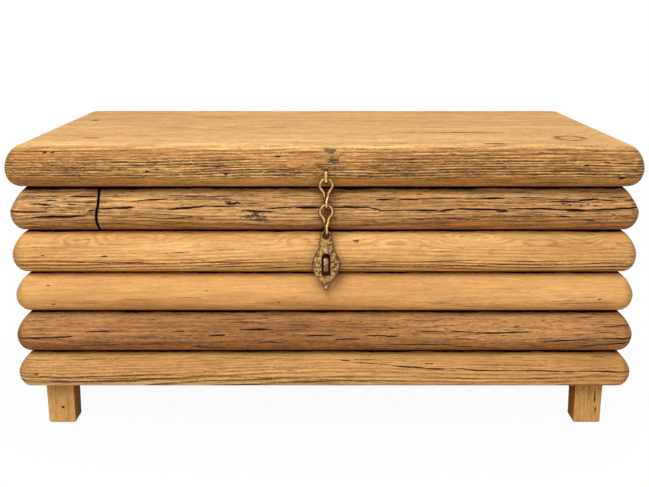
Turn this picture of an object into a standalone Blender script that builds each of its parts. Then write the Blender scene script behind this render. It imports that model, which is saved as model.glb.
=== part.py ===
"""Rustic trunk of rounded planks with a thick hinged lid and a chain hasp.

Metres, +Z up. The front faces -Y and the trunk stands on the plane z = 0.
The origin lies on the floor under the middle of the whole trunk, hasp included.
"""
import math

import bmesh
import bpy

# Shared clearances
FIT_GAP = 0.0003
CUT_OVERRUN = 0.004

# Lid
LID_LENGTH = 1.012
LID_DEPTH = 0.640
LID_THICKNESS = 0.0657
LID_FRONT_PLANK_DEPTH = 0.205
LID_SECOND_PLANK_DEPTH = 0.140
LID_THIRD_PLANK_DEPTH = 0.140
LID_END_SHOULDER_DEPTH = 0.028
LID_END_UNDERCURVE_DEPTH = 0.025
LID_FRONT_SHOULDER_DEPTH = 0.045
LID_FRONT_UNDERCURVE_DEPTH = 0.022
LID_CORNER_RADIUS = 0.024
BATTEN_WIDTH = 0.060
BATTEN_THICKNESS = 0.018
BATTEN_END_CLEARANCE = 0.008

# Box of stacked planks, top course first
LID_OVERHANG = 0.0036
LID_END_OVERHANG = 0.0048
COURSE_1_HEIGHT = 0.071
COURSE_2_HEIGHT = 0.069
COURSE_3_HEIGHT = 0.065
COURSE_4_HEIGHT = 0.0675
COURSE_5_HEIGHT = 0.059
COURSE_3_SETBACK = 0.0017
BOARD_THICKNESS = 0.033
SIDE_BOARD_THICKNESS = 0.0378
BOARD_SHOULDER_DEPTH = 0.0285
BOARD_UNDERCURVE_DEPTH = 0.026
LOWEST_UNDERCURVE_DEPTH = 0.019
BACK_NOSE_DEPTH = 0.021
BOARD_CORNER_RADIUS = 0.020
SPLICE_BOW = 0.005
SPLICE_GAP = 0.002

# Corner posts, whose lower ends are the feet
FOOT_HEIGHT = 0.072
POST_SIDE = 0.0468
FOOT_TAPER = 0.0018
FOOT_EDGE_RADIUS = 0.004

# Floor inside the box
BEARER_WIDTH = 0.035
BEARER_HEIGHT = 0.022
BEARER_LIFT = 0.012
FLOOR_THICKNESS = 0.014
FLOOR_SEAM = 0.001
FLOOR_MIDDLE_BOARDS = 4
PLAIN_EDGE_BEVEL = 0.0012

# Lid hinges
HINGE_LENGTH = 0.070
HINGE_INSET = 0.014
HINGE_LEAF_WIDTH = 0.0215
HINGE_LEAF_THICKNESS = 0.0020
HINGE_KNUCKLE_RADIUS = 0.0042
HINGE_PIN_RADIUS = 0.0017
HINGE_PIN_CLEARANCE = 0.0003
HINGE_HEAD_HEIGHT = 0.0012
HINGE_HEAD_LIP = 0.0008
HINGE_KNUCKLES = 5
KNUCKLE_RELIEF = 0.0005

# Staple in the lid
HASP_OFFSET = 0.0024
LID_STAPLE_WIDTH = 0.0070
LID_STAPLE_BAR = 0.0045
LID_STAPLE_EYE_HEIGHT = 0.0134
LID_STAPLE_REACH = 0.0190
LID_STAPLE_DROP = 0.0356
LID_STAPLE_CORNER_RADIUS = 0.0058
STAPLE_LEG_DEPTH = 0.024

# Chain of two twisted links
LINK_WIRE_RADIUS = 0.0025
LINK_RING_RADIUS = 0.0098
LINK_LOOP_RADIUS = 0.0056
LINK_PITCH = 0.0413
CHAIN_STANDOFF = 0.0105
LINK_PLAY = 0.0003
UPPER_LINK_TWIST_DEG = 84.0
LOWER_LINK_TWIST_DEG = 79.0

# Slotted plate that hangs from the chain
PLATE_LENGTH = 0.0967
PLATE_WIDTH = 0.0440
PLATE_THICKNESS = 0.0030
PLATE_EDGE_BEVEL = 0.0006
PLATE_EYE_RADIUS = 0.0050
PLATE_EYE_LIFT = 0.0012
PLATE_RIM = 0.0030
SLOT_LENGTH = 0.0345
SLOT_WIDTH = 0.0122
SLOT_DROP = 0.0550

# Staple in the box that the plate hooks over
BOX_STAPLE_BAR = 0.0040
BOX_STAPLE_SIDE_PLAY = 0.0030
BOX_STAPLE_END_PLAY = 0.0080
BOX_STAPLE_SHIFT = 0.0022
BOX_STAPLE_NOSE_GAP = 0.0008
BOX_STAPLE_CORNER_RADIUS = 0.0060
STAPLE_EDGE_BEVEL = 0.0010

# Shape shares and facet counts
SPLICE_FROM_CENTRE_SHARE = 0.3547
BATTEN_SPREAD_SHARE = 0.5138
BEARER_SPREAD_SHARE = 0.751
HINGE_SPREAD_SHARE = 0.5534
LID_BELLY_SHARE = 0.43
BOARD_BELLY_SHARE = 0.43
LID_END_POWERS = (1.8, 2.1)
LID_FRONT_POWERS = (2.6, 2.6)
COURSE_SHOULDER_POWERS = (1.25, 1.55, 1.53, 1.50, 1.52)
UNDERCURVE_POWER = 2.1
BACK_POWERS = (2.1, 2.1)
CORNER_END_SHARE = 0.12
FOOT_EDGE_SHARE = 0.3
NOSE_LEVELS = 10
CORNER_POINTS = 4
ROUND_SIDES = 16
BAR_ARC_POINTS = 5
LINK_STRAND_STEPS = 13
LINK_LOOP_STEPS = 6
LINK_RING_END_DEG = 50
LINK_TWIST_SHARES = (0.30, 0.74)
LINK_PINCH_SHARE = 0.50

# Half-width of the plate, as shares of its half-width, against shares of its length
PLATE_OUTLINE_SHARES = (
    (0.000, 0.16), (0.018, 0.30), (0.050, 0.39), (0.140, 0.46), (0.215, 0.54),
    (0.265, 0.52), (0.345, 0.66), (0.430, 0.86), (0.520, 0.98), (0.600, 1.00),
    (0.690, 0.91), (0.755, 0.75), (0.825, 0.48), (0.888, 0.26), (0.915, 0.17),
    (0.940, 0.18), (0.970, 0.11), (1.000, 0.03),
)

# Places worked out from the sizes above
COURSE_HEIGHTS = (COURSE_1_HEIGHT, COURSE_2_HEIGHT, COURSE_3_HEIGHT, COURSE_4_HEIGHT, COURSE_5_HEIGHT)
COURSE_SETBACKS = (0, 0, COURSE_3_SETBACK, 0, 0)
BOX_BOTTOM_Z = FOOT_HEIGHT
BOX_TOP_Z = BOX_BOTTOM_Z + sum(COURSE_HEIGHTS)
LID_BOTTOM_Z = BOX_TOP_Z + FIT_GAP
LID_TOP_Z = LID_BOTTOM_Z + LID_THICKNESS

LID_FRONT_Y = (LID_STAPLE_REACH - LID_DEPTH) / 2
LID_BACK_Y = LID_FRONT_Y + LID_DEPTH
LID_HALF = LID_LENGTH / 2
BOX_FRONT_Y = LID_FRONT_Y + LID_OVERHANG
BOX_BACK_Y = LID_BACK_Y - LID_OVERHANG
BOX_HALF = LID_HALF - LID_END_OVERHANG
INNER_FRONT_Y = BOX_FRONT_Y + BOARD_THICKNESS
INNER_BACK_Y = BOX_BACK_Y - BOARD_THICKNESS
INNER_HALF = BOX_HALF - SIDE_BOARD_THICKNESS

HINGE_Y = LID_BACK_Y - HINGE_INSET
HINGE_Z = BOX_TOP_Z + FIT_GAP / 2

CHAIN_Y = LID_FRONT_Y - CHAIN_STANDOFF
LID_STAPLE_TOP_Z = LID_TOP_Z - LID_STAPLE_DROP
LID_STAPLE_HEIGHT = LID_STAPLE_EYE_HEIGHT + LID_STAPLE_BAR * 2
LID_STAPLE_SEAT_Z = LID_STAPLE_TOP_Z - LID_STAPLE_HEIGHT + LID_STAPLE_BAR
RING_SAG = LINK_RING_RADIUS - math.sqrt(LINK_RING_RADIUS ** 2 - (LID_STAPLE_WIDTH / 2) ** 2)
UPPER_LINK_Z = LID_STAPLE_SEAT_Z + LINK_WIRE_RADIUS + RING_SAG + LINK_PLAY
LOWER_LINK_Z = UPPER_LINK_Z - LINK_PITCH
PLATE_PIVOT_Z = LOWER_LINK_Z - LINK_PITCH

LOOP_HOLLOW = LINK_LOOP_RADIUS - LINK_WIRE_RADIUS
PLATE_EYE_Z = PLATE_PIVOT_Z - LOOP_HOLLOW + PLATE_EYE_LIFT - PLATE_EYE_RADIUS
PLATE_TOP_Z = PLATE_EYE_Z + PLATE_EYE_RADIUS + PLATE_RIM
SLOT_Z = PLATE_TOP_Z - SLOT_DROP
BOX_STAPLE_Z = SLOT_Z - BOX_STAPLE_SHIFT
BOX_STAPLE_HEIGHT = SLOT_LENGTH - BOX_STAPLE_END_PLAY
BOX_STAPLE_WIDTH = SLOT_WIDTH - BOX_STAPLE_SIDE_PLAY
BOX_STAPLE_NOSE_Y = CHAIN_Y + PLATE_THICKNESS / 2 + BOX_STAPLE_NOSE_GAP


def clear_scene():
    """Removes whatever the scene holds before the trunk is built."""
    for piece in list(bpy.data.objects):
        bpy.data.objects.remove(piece, do_unlink=True)


def finish(name, colour, roughness, metallic=0.0):
    """A plain surface: colour, roughness and whether it is bare metal."""
    material = bpy.data.materials.new(name)
    material.use_nodes = True
    shader = material.node_tree.nodes["Principled BSDF"]
    shader.inputs["Base Color"].default_value = (*colour, 1.0)
    shader.inputs["Roughness"].default_value = roughness
    shader.inputs["Metallic"].default_value = metallic
    return material


def mesh_piece(name, points, faces, material=None):
    """One closed mesh from world points, shaded smooth between its sharp edges."""
    mesh = bpy.data.meshes.new(name)
    mesh.from_pydata(points, [], faces)
    work = bmesh.new()
    work.from_mesh(mesh)
    bmesh.ops.recalc_face_normals(work, faces=work.faces)
    work.to_mesh(mesh)
    work.free()
    mesh.shade_smooth()
    mesh.set_sharp_from_angle(angle=math.radians(35))
    piece = bpy.data.objects.new(name, mesh)
    bpy.context.scene.collection.objects.link(piece)
    if material:
        mesh.materials.append(material)
    return piece


def loft(name, rings, material=None):
    """A solid through rings of equal point count, closed by its first and last ring."""
    count = len(rings[0])
    points = [point for ring in rings for point in ring]
    faces = [tuple(range(count)), tuple(range(len(points) - count, len(points)))]
    for level in range(len(rings) - 1):
        low = level * count
        high = low + count
        for corner in range(count):
            following = (corner + 1) % count
            faces.append((low + corner, low + following, high + following, high + corner))
    return mesh_piece(name, points, faces, material)


def pivot_empty(name, place):
    """An empty on a joint's axis that carries everything the joint moves."""
    pivot = bpy.data.objects.new(name, None)
    pivot.location = place
    bpy.context.scene.collection.objects.link(pivot)
    return pivot


def carry(piece, carrier, carrier_place):
    """Hangs a piece, modelled in world places, under the empty that carries it."""
    piece.parent = carrier
    piece.location = [here - there for here, there in zip(piece.location, carrier_place)]


def soften(piece, width, segments=1):
    """Breaks the sharp edges of a piece."""
    edge = piece.modifiers.new("broken_edges", "BEVEL")
    edge.width = width
    edge.segments = segments
    edge.limit_method = "ANGLE"
    edge.angle_limit = math.radians(40)


def cut(piece, cutter):
    """Takes the cutter's shape out of a piece and keeps the cutter as a guide."""
    difference = piece.modifiers.new("cut_" + cutter.name, "BOOLEAN")
    difference.operation = "DIFFERENCE"
    difference.solver = "EXACT"
    difference.object = cutter
    as_guide(cutter)


def join_to(piece, addition):
    """Welds another shape to a piece, as one body."""
    union = piece.modifiers.new("weld_" + addition.name, "BOOLEAN")
    union.operation = "UNION"
    union.solver = "EXACT"
    union.object = addition
    as_guide(addition)


def as_guide(shape):
    """Marks a shape as a cutter or guide that is not itself a piece."""
    shape.hide_render = True
    shape.display_type = "WIRE"


def block_points(x_span, y_span, z_span):
    """The corners of a block, bottom ring then top ring."""
    left, right = x_span
    front, back = y_span
    return [[(left, front, z), (right, front, z), (right, back, z), (left, back, z)] for z in z_span]


def block(name, x_span, y_span, z_span, material=None):
    """A straight block between two places along each axis."""
    return loft(name, block_points(x_span, y_span, z_span), material)


def rod(name, start_x, end_x, radius, y, z, material=None):
    """A round bar along X."""
    rings = []
    for x in (start_x, end_x):
        turns = [2 * math.pi * side / ROUND_SIDES for side in range(ROUND_SIDES)]
        rings.append([(x, y + radius * math.cos(turn), z + radius * math.sin(turn)) for turn in turns])
    return loft(name, rings, material)


def nose_inset(level, depth, power):
    """How far a rounded edge has drawn in at a level from -1 at its foot to 1 at its top."""
    height = min(abs(level), 1)
    return depth * (1 - (1 - height ** power) ** (1 / power))


def rounded_ring(x_span, y_span, z, radii):
    """A level outline whose four corners have their own radii, front left corner first."""
    corners = (
        (x_span[0], y_span[0], 1, 1, 180),
        (x_span[1], y_span[0], -1, 1, 270),
        (x_span[1], y_span[1], -1, -1, 0),
        (x_span[0], y_span[1], 1, -1, 90),
    )
    ring = []
    for (x, y, inward_x, inward_y, start), radius in zip(corners, radii):
        if radius is None:
            ring.append((x, y, z))
            continue
        for step in range(CORNER_POINTS + 1):
            turn = math.radians(start + 90 * step / CORNER_POINTS)
            along = x + radius * (inward_x + math.cos(turn))
            across = y + radius * (inward_y + math.sin(turn))
            ring.append((along, across, z))
    return ring


def plank(name, x_span, y_span, z_span, noses, belly_share, corner_radius, material, edges=None):
    """A plank with rounded noses on the sides named in noses.

    noses gives left, right, front or back the depth and the power of its curve above
    the belly and then below it; a side that is not named stays flat. edges moves a
    flat left or right end along X by a function of the level.
    """
    belly_z = z_span[0] + (z_span[1] - z_span[0]) * belly_share
    edges = edges or {}
    rings = []
    for step in range(NOSE_LEVELS + 1):
        level = math.sin(math.pi * (step / NOSE_LEVELS - 0.5))
        reach = z_span[1] - belly_z if level > 0 else belly_z - z_span[0]
        z = belly_z + reach * level
        inset = {}
        for side, (above, below) in noses.items():
            inset[side] = nose_inset(level, *(above if level > 0 else below))
        left = x_span[0] + inset.get("left", 0) + edges.get("left", lambda _: 0)(level)
        right = x_span[1] - inset.get("right", 0) + edges.get("right", lambda _: 0)(level)
        front = y_span[0] + inset.get("front", 0)
        back = y_span[1] - inset.get("back", 0)
        radii = []
        for pair in (("left", "front"), ("right", "front"), ("right", "back"), ("left", "back")):
            if pair[0] in noses and pair[1] in noses:
                drawn = min(inset[pair[0]], inset[pair[1]])
                radii.append(max(corner_radius - drawn, corner_radius * CORNER_END_SHARE))
            else:
                radii.append(None)
        rings.append(rounded_ring((left, right), (front, back), z, radii))
    return loft(name, rings, material)


def lid_planks(wood):
    """Full length planks, edge to edge, with the rounded rim worked on the outer ones."""
    end_nose = tuple(zip((LID_END_SHOULDER_DEPTH, LID_END_UNDERCURVE_DEPTH), LID_END_POWERS))
    front_nose = tuple(zip((LID_FRONT_SHOULDER_DEPTH, LID_FRONT_UNDERCURVE_DEPTH), LID_FRONT_POWERS))
    depths = (LID_FRONT_PLANK_DEPTH, LID_SECOND_PLANK_DEPTH, LID_THIRD_PLANK_DEPTH)
    names = ("lid_plank_front", "lid_plank_second", "lid_plank_third", "lid_plank_back")
    seams = [LID_FRONT_Y]
    for depth in depths:
        seams.append(seams[-1] + depth)
    seams.append(LID_BACK_Y)
    planks = []
    for place, name in enumerate(names):
        noses = {"left": end_nose, "right": end_nose}
        front_y = seams[place]
        back_y = seams[place + 1]
        if place == 0:
            noses["front"] = front_nose
        else:
            front_y += FIT_GAP
        if place == len(names) - 1:
            noses["back"] = end_nose
        planks.append(plank(
            name, (-LID_HALF, LID_HALF), (front_y, back_y), (LID_BOTTOM_Z, LID_TOP_Z),
            noses, LID_BELLY_SHARE, LID_CORNER_RADIUS, wood,
        ))
    return planks


def lid_battens(wood):
    """Two battens under the lid that hold its planks together and drop inside the box."""
    y_span = (INNER_FRONT_Y + BATTEN_END_CLEARANCE, INNER_BACK_Y - BATTEN_END_CLEARANCE)
    top_z = LID_BOTTOM_Z - FIT_GAP
    battens = []
    for name, side in (("lid_batten_left", -1), ("lid_batten_right", 1)):
        middle = side * LID_LENGTH * BATTEN_SPREAD_SHARE / 2
        x_span = (middle - BATTEN_WIDTH / 2, middle + BATTEN_WIDTH / 2)
        batten = block(name, x_span, y_span, (top_z - BATTEN_THICKNESS, top_z), wood)
        soften(batten, PLAIN_EDGE_BEVEL)
        battens.append(batten)
    return battens


def course_levels():
    """Bottom and top of each course of planks, top course first."""
    levels = []
    top = BOX_TOP_Z
    for height in COURSE_HEIGHTS:
        seam = FIT_GAP if levels else 0
        levels.append((top - height, top - seam))
        top -= height
    return levels


def course_noses():
    """Rounding of the seen edges, one for each course: old boards differ a little."""
    unders = [BOARD_UNDERCURVE_DEPTH] * (len(COURSE_HEIGHTS) - 1) + [LOWEST_UNDERCURVE_DEPTH]
    return [
        ((BOARD_SHOULDER_DEPTH, power), (under, UNDERCURVE_POWER))
        for power, under in zip(COURSE_SHOULDER_POWERS, unders)
    ]


def front_and_back_boards(woods):
    """The long boards, whose rounded ends close over the side boards."""
    back_nose = tuple((BACK_NOSE_DEPTH, power) for power in BACK_POWERS)
    fronts = []
    backs = []
    courses = zip(course_levels(), COURSE_SETBACKS, course_noses(), woods)
    for course, (z_span, setback, nose, wood) in enumerate(courses, 1):
        half = BOX_HALF - setback
        front_span = (BOX_FRONT_Y + setback, INNER_FRONT_Y)
        back_span = (INNER_BACK_Y, BOX_BACK_Y - setback)
        front_noses = {"left": nose, "right": nose, "front": nose}
        back_noses = {"left": nose, "right": nose, "back": back_nose}
        if course == 1:
            fronts.extend(spliced_front_board(half, front_span, z_span, nose, wood))
        else:
            fronts.append(plank(
                f"front_board_{course}", (-half, half), front_span, z_span,
                front_noses, BOARD_BELLY_SHARE, BOARD_CORNER_RADIUS, wood,
            ))
        backs.append(plank(
            f"back_board_{course}", (-half, half), back_span, z_span,
            back_noses, BOARD_BELLY_SHARE, BOARD_CORNER_RADIUS, wood,
        ))
    return fronts, backs


def spliced_front_board(half, y_span, z_span, nose, wood):
    """The top front board is a short and a long piece that meet along a bowed joint."""
    joint_x = -LID_LENGTH * SPLICE_FROM_CENTRE_SHARE

    def bow(level):
        return SPLICE_BOW * level * level

    short = plank(
        "front_board_1_left", (-half, joint_x - SPLICE_GAP / 2), y_span, z_span,
        {"left": nose, "front": nose}, BOARD_BELLY_SHARE, BOARD_CORNER_RADIUS, wood, {"right": bow},
    )
    long = plank(
        "front_board_1_right", (joint_x + SPLICE_GAP / 2, half), y_span, z_span,
        {"right": nose, "front": nose}, BOARD_BELLY_SHARE, BOARD_CORNER_RADIUS, wood, {"left": bow},
    )
    return [short, long]


def side_boards(woods):
    """Short boards between the front and the back, rounded on their outer side."""
    y_span = (INNER_FRONT_Y + FIT_GAP, INNER_BACK_Y - FIT_GAP)
    courses = zip(course_levels(), COURSE_SETBACKS, course_noses(), woods)
    for course, (z_span, setback, nose, wood) in enumerate(courses, 1):
        half = BOX_HALF - setback
        plank(
            f"left_board_{course}", (-half, -INNER_HALF), y_span, z_span,
            {"left": nose}, BOARD_BELLY_SHARE, BOARD_CORNER_RADIUS, wood,
        )
        plank(
            f"right_board_{course}", (INNER_HALF, half), y_span, z_span,
            {"right": nose}, BOARD_BELLY_SHARE, BOARD_CORNER_RADIUS, wood,
        )


def corner_post(name, side, facing, wood):
    """A square post inside a corner that runs on down as a slightly tapered foot."""
    outer_x = INNER_HALF - FIT_GAP
    inner_x = outer_x - POST_SIDE
    outer_y = INNER_FRONT_Y + FIT_GAP if facing < 0 else INNER_BACK_Y - FIT_GAP
    inner_y = outer_y - facing * POST_SIDE
    edge = FOOT_EDGE_RADIUS
    corner = edge / 2
    levels = (
        (0, edge, corner),
        (edge * FOOT_EDGE_SHARE, edge * FOOT_EDGE_SHARE, corner),
        (edge, 0, corner),
        (FOOT_HEIGHT, 0, corner),
        (BOX_TOP_Z - FIT_GAP, 0, corner),
    )
    rings = []
    for z, draw, radius in levels:
        taper = FOOT_TAPER * max(0, 1 - z / FOOT_HEIGHT)
        x_span = sorted((side * (outer_x - draw - taper), side * (inner_x + draw)))
        y_span = sorted((outer_y - facing * (draw + taper), inner_y + facing * draw))
        rings.append(rounded_ring(x_span, y_span, z, (radius, radius, radius, radius)))
    return loft(name, rings, wood)


def corner_posts(wood):
    """Four posts, one inside each corner of the box."""
    for facing, place in ((-1, "front"), (1, "back")):
        for side, hand in ((-1, "left"), (1, "right")):
            corner_post(f"post_{place}_{hand}", side, facing, wood)


def floor_bearers(wood):
    """Cross bearers between the lowest front and back boards that carry the floor."""
    y_span = (INNER_FRONT_Y + FIT_GAP, INNER_BACK_Y - FIT_GAP)
    bottom_z = BOX_BOTTOM_Z + BEARER_LIFT
    for name, side in (("floor_bearer_left", -1), ("floor_bearer_middle", 0), ("floor_bearer_right", 1)):
        middle = side * LID_LENGTH * BEARER_SPREAD_SHARE / 2
        x_span = (middle - BEARER_WIDTH / 2, middle + BEARER_WIDTH / 2)
        bearer = block(name, x_span, y_span, (bottom_z, bottom_z + BEARER_HEIGHT), wood)
        soften(bearer, PLAIN_EDGE_BEVEL)


def floor_boards(wood):
    """Long floor boards on the bearers, the outer two cut short between the posts."""
    bottom_z = BOX_BOTTOM_Z + BEARER_LIFT + BEARER_HEIGHT + FIT_GAP
    z_span = (bottom_z, bottom_z + FLOOR_THICKNESS)
    long_half = INNER_HALF - FIT_GAP
    short_half = long_half - POST_SIDE - FIT_GAP
    front_y = INNER_FRONT_Y + FIT_GAP
    back_y = INNER_BACK_Y - FIT_GAP
    front_edge = front_y + POST_SIDE
    back_edge = back_y - POST_SIDE
    places = [("floor_board_front", short_half, front_y, front_edge - FLOOR_SEAM)]
    pitch = (back_edge - front_edge) / FLOOR_MIDDLE_BOARDS
    for number in range(FLOOR_MIDDLE_BOARDS):
        start = front_edge + pitch * number
        end = start + pitch
        places.append((f"floor_board_{number + 1}", long_half, start + FLOOR_SEAM, end - FLOOR_SEAM))
    places.append(("floor_board_back", short_half, back_edge + FLOOR_SEAM, back_y))
    for name, half, start, end in places:
        board = block(name, (-half, half), (start, end), z_span, wood)
        soften(board, PLAIN_EDGE_BEVEL)


def knuckle_spans(middle, first):
    """X spans of every second knuckle of a hinge, from the first one given."""
    start = middle - HINGE_LENGTH / 2
    pitch = HINGE_LENGTH / HINGE_KNUCKLES
    places = range(first, HINGE_KNUCKLES, 2)
    return [(start + pitch * place, start + pitch * (place + 1)) for place in places]


def hinge_leaf(name, middle, above, metal):
    """A let-in leaf with its rolled knuckles, bored for the pin."""
    x_span = (middle - HINGE_LENGTH / 2, middle + HINGE_LENGTH / 2)
    if above:
        z_span = (LID_BOTTOM_Z, LID_BOTTOM_Z + HINGE_LEAF_THICKNESS)
    else:
        z_span = (BOX_TOP_Z - HINGE_LEAF_THICKNESS, BOX_TOP_Z)
    leaf = block(name, x_span, (HINGE_Y - HINGE_LEAF_WIDTH, HINGE_Y), z_span, metal)
    join_to(leaf, rod(name + "_barrel", *x_span, HINGE_KNUCKLE_RADIUS, HINGE_Y, HINGE_Z))
    bore = HINGE_PIN_RADIUS + HINGE_PIN_CLEARANCE
    bore_span = (x_span[0] - CUT_OVERRUN, x_span[1] + CUT_OVERRUN)
    cut(leaf, rod(name + "_bore", *bore_span, bore, HINGE_Y, HINGE_Z))
    clear = HINGE_KNUCKLE_RADIUS + FIT_GAP
    for number, span in enumerate(knuckle_spans(middle, 0 if above else 1)):
        gap_x = [span[0] - FIT_GAP / 2, span[1] + FIT_GAP / 2]
        if above and number == 0:
            gap_x[0] -= CUT_OVERRUN
        if above and number == HINGE_KNUCKLES // 2:
            gap_x[1] += CUT_OVERRUN
        gap_y = (HINGE_Y - clear, HINGE_Y + clear + CUT_OVERRUN)
        gap_z = (HINGE_Z - clear, HINGE_Z + clear)
        cut(leaf, block(f"{name}_gap_{number}", gap_x, gap_y, gap_z))
    return leaf


def hinge_pin(name, middle, metal):
    """The pin through the knuckles, headed at both ends."""
    reach = HINGE_LENGTH / 2 + FIT_GAP
    tip = reach + HINGE_HEAD_HEIGHT
    head = HINGE_PIN_RADIUS + HINGE_HEAD_LIP
    profile = (
        (-tip, head - HINGE_HEAD_LIP / 2), (-tip + HINGE_HEAD_HEIGHT / 2, head), (-reach, head),
        (-reach, HINGE_PIN_RADIUS), (reach, HINGE_PIN_RADIUS),
        (reach, head), (tip - HINGE_HEAD_HEIGHT / 2, head), (tip, head - HINGE_HEAD_LIP / 2),
    )
    rings = []
    for along, radius in profile:
        turns = [2 * math.pi * side / ROUND_SIDES for side in range(ROUND_SIDES)]
        rings.append([
            (middle + along, HINGE_Y + radius * math.cos(turn), HINGE_Z + radius * math.sin(turn))
            for turn in turns
        ])
    return loft(name, rings, metal)


def hinge_recess(piece, hand, middle, above):
    """Lets a leaf and the back of its knuckles into the wood."""
    x_span = (middle - HINGE_LENGTH / 2 - FIT_GAP, middle + HINGE_LENGTH / 2 + FIT_GAP)
    y_span = (HINGE_Y - HINGE_LEAF_WIDTH - FIT_GAP, LID_BACK_Y + CUT_OVERRUN)
    if above:
        z_span = (LID_BOTTOM_Z - CUT_OVERRUN, LID_BOTTOM_Z + HINGE_LEAF_THICKNESS + FIT_GAP)
    else:
        z_span = (BOX_TOP_Z - HINGE_LEAF_THICKNESS - FIT_GAP, BOX_TOP_Z + CUT_OVERRUN)
    where = f"{hand}_{'lid' if above else 'box'}"
    cut(piece, block(f"leaf_pocket_{where}", x_span, y_span, z_span))
    end = HINGE_HEAD_HEIGHT + KNUCKLE_RELIEF
    round_span = (x_span[0] - end, x_span[1] + end)
    radius = HINGE_KNUCKLE_RADIUS + KNUCKLE_RELIEF
    cut(piece, rod(f"knuckle_relief_{where}", *round_span, radius, HINGE_Y, HINGE_Z))


def hinges(back_plank, back_board, metal):
    """Two butt hinges let in between the top back board and the lid."""
    lid_leaves = []
    for hand, side in (("left", -1), ("right", 1)):
        middle = side * LID_LENGTH * HINGE_SPREAD_SHARE / 2
        hinge_leaf(f"hinge_{hand}_box_leaf", middle, False, metal)
        lid_leaves.append(hinge_leaf(f"hinge_{hand}_lid_leaf", middle, True, metal))
        hinge_pin(f"hinge_{hand}_pin", middle, metal)
        hinge_recess(back_plank, hand, middle, True)
        hinge_recess(back_board, hand, middle, False)
    return lid_leaves


def hoop_outline(nose_y, end_y, bottom_z, top_z, corner, bar):
    """Side view of a staple: two legs joined by a nose with rounded corners."""
    def run(inset):
        radius = corner - inset
        centre_y = nose_y + corner
        points = [(end_y, top_z - inset)]
        for step in range(BAR_ARC_POINTS + 1):
            turn = math.radians(90 + 90 * step / BAR_ARC_POINTS)
            points.append((centre_y + radius * math.cos(turn), top_z - corner + radius * math.sin(turn)))
        for step in range(BAR_ARC_POINTS + 1):
            turn = math.radians(180 + 90 * step / BAR_ARC_POINTS)
            points.append((centre_y + radius * math.cos(turn), bottom_z + corner + radius * math.sin(turn)))
        points.append((end_y, bottom_z + inset))
        return points

    outside = run(0)
    inside = run(bar)
    return outside + inside[::-1]


def staple(name, width, outline, metal):
    """A flat bar bent to a hoop and driven into the wood by its two legs."""
    rings = [
        [(HASP_OFFSET + side * width / 2, y, z) for y, z in outline]
        for side in (-1, 1)
    ]
    hoop = loft(name, rings, metal)
    soften(hoop, STAPLE_EDGE_BEVEL, 2)
    return hoop


def leg_holes(piece, name, width, legs, front_y, end_y):
    """Holes in the wood for the legs of a staple."""
    half = width / 2 + FIT_GAP
    for number, (bottom_z, top_z) in enumerate(legs):
        z_span = (bottom_z - FIT_GAP, top_z + FIT_GAP)
        y_span = (front_y - CUT_OVERRUN, end_y + FIT_GAP)
        x_span = (HASP_OFFSET - half, HASP_OFFSET + half)
        cut(piece, block(f"{name}_{number}", x_span, y_span, z_span))


def lid_staple(front_plank, metal):
    """The upright staple in the lid that the chain hangs from."""
    bottom_z = LID_STAPLE_TOP_Z - LID_STAPLE_HEIGHT
    end_y = LID_FRONT_Y + STAPLE_LEG_DEPTH
    outline = hoop_outline(
        LID_FRONT_Y - LID_STAPLE_REACH, end_y, bottom_z, LID_STAPLE_TOP_Z,
        LID_STAPLE_CORNER_RADIUS, LID_STAPLE_BAR,
    )
    hoop = staple("lid_staple", LID_STAPLE_WIDTH, outline, metal)
    legs = ((bottom_z, bottom_z + LID_STAPLE_BAR), (LID_STAPLE_TOP_Z - LID_STAPLE_BAR, LID_STAPLE_TOP_Z))
    leg_holes(front_plank, "lid_leg_hole", LID_STAPLE_WIDTH, legs, LID_FRONT_Y, end_y)
    return hoop


def box_staple(front_boards, metal):
    """The staple in the front boards that the slotted plate hooks over."""
    bottom_z = BOX_STAPLE_Z - BOX_STAPLE_HEIGHT / 2
    top_z = BOX_STAPLE_Z + BOX_STAPLE_HEIGHT / 2
    end_y = BOX_FRONT_Y + STAPLE_LEG_DEPTH
    outline = hoop_outline(
        BOX_STAPLE_NOSE_Y, end_y, bottom_z, top_z, BOX_STAPLE_CORNER_RADIUS, BOX_STAPLE_BAR,
    )
    staple("box_staple", BOX_STAPLE_WIDTH, outline, metal)
    legs = ((bottom_z, bottom_z + BOX_STAPLE_BAR), (top_z - BOX_STAPLE_BAR, top_z))
    for board, (low, high) in front_boards:
        if low < top_z and high > bottom_z:
            leg_holes(board, board.name + "_leg_hole", BOX_STAPLE_WIDTH, legs, BOX_FRONT_Y, end_y)


def smooth_step(share):
    """Eases from 0 to 1 without a kink at either end."""
    held = min(max(share, 0), 1)
    return held * held * (3 - 2 * held)


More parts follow.
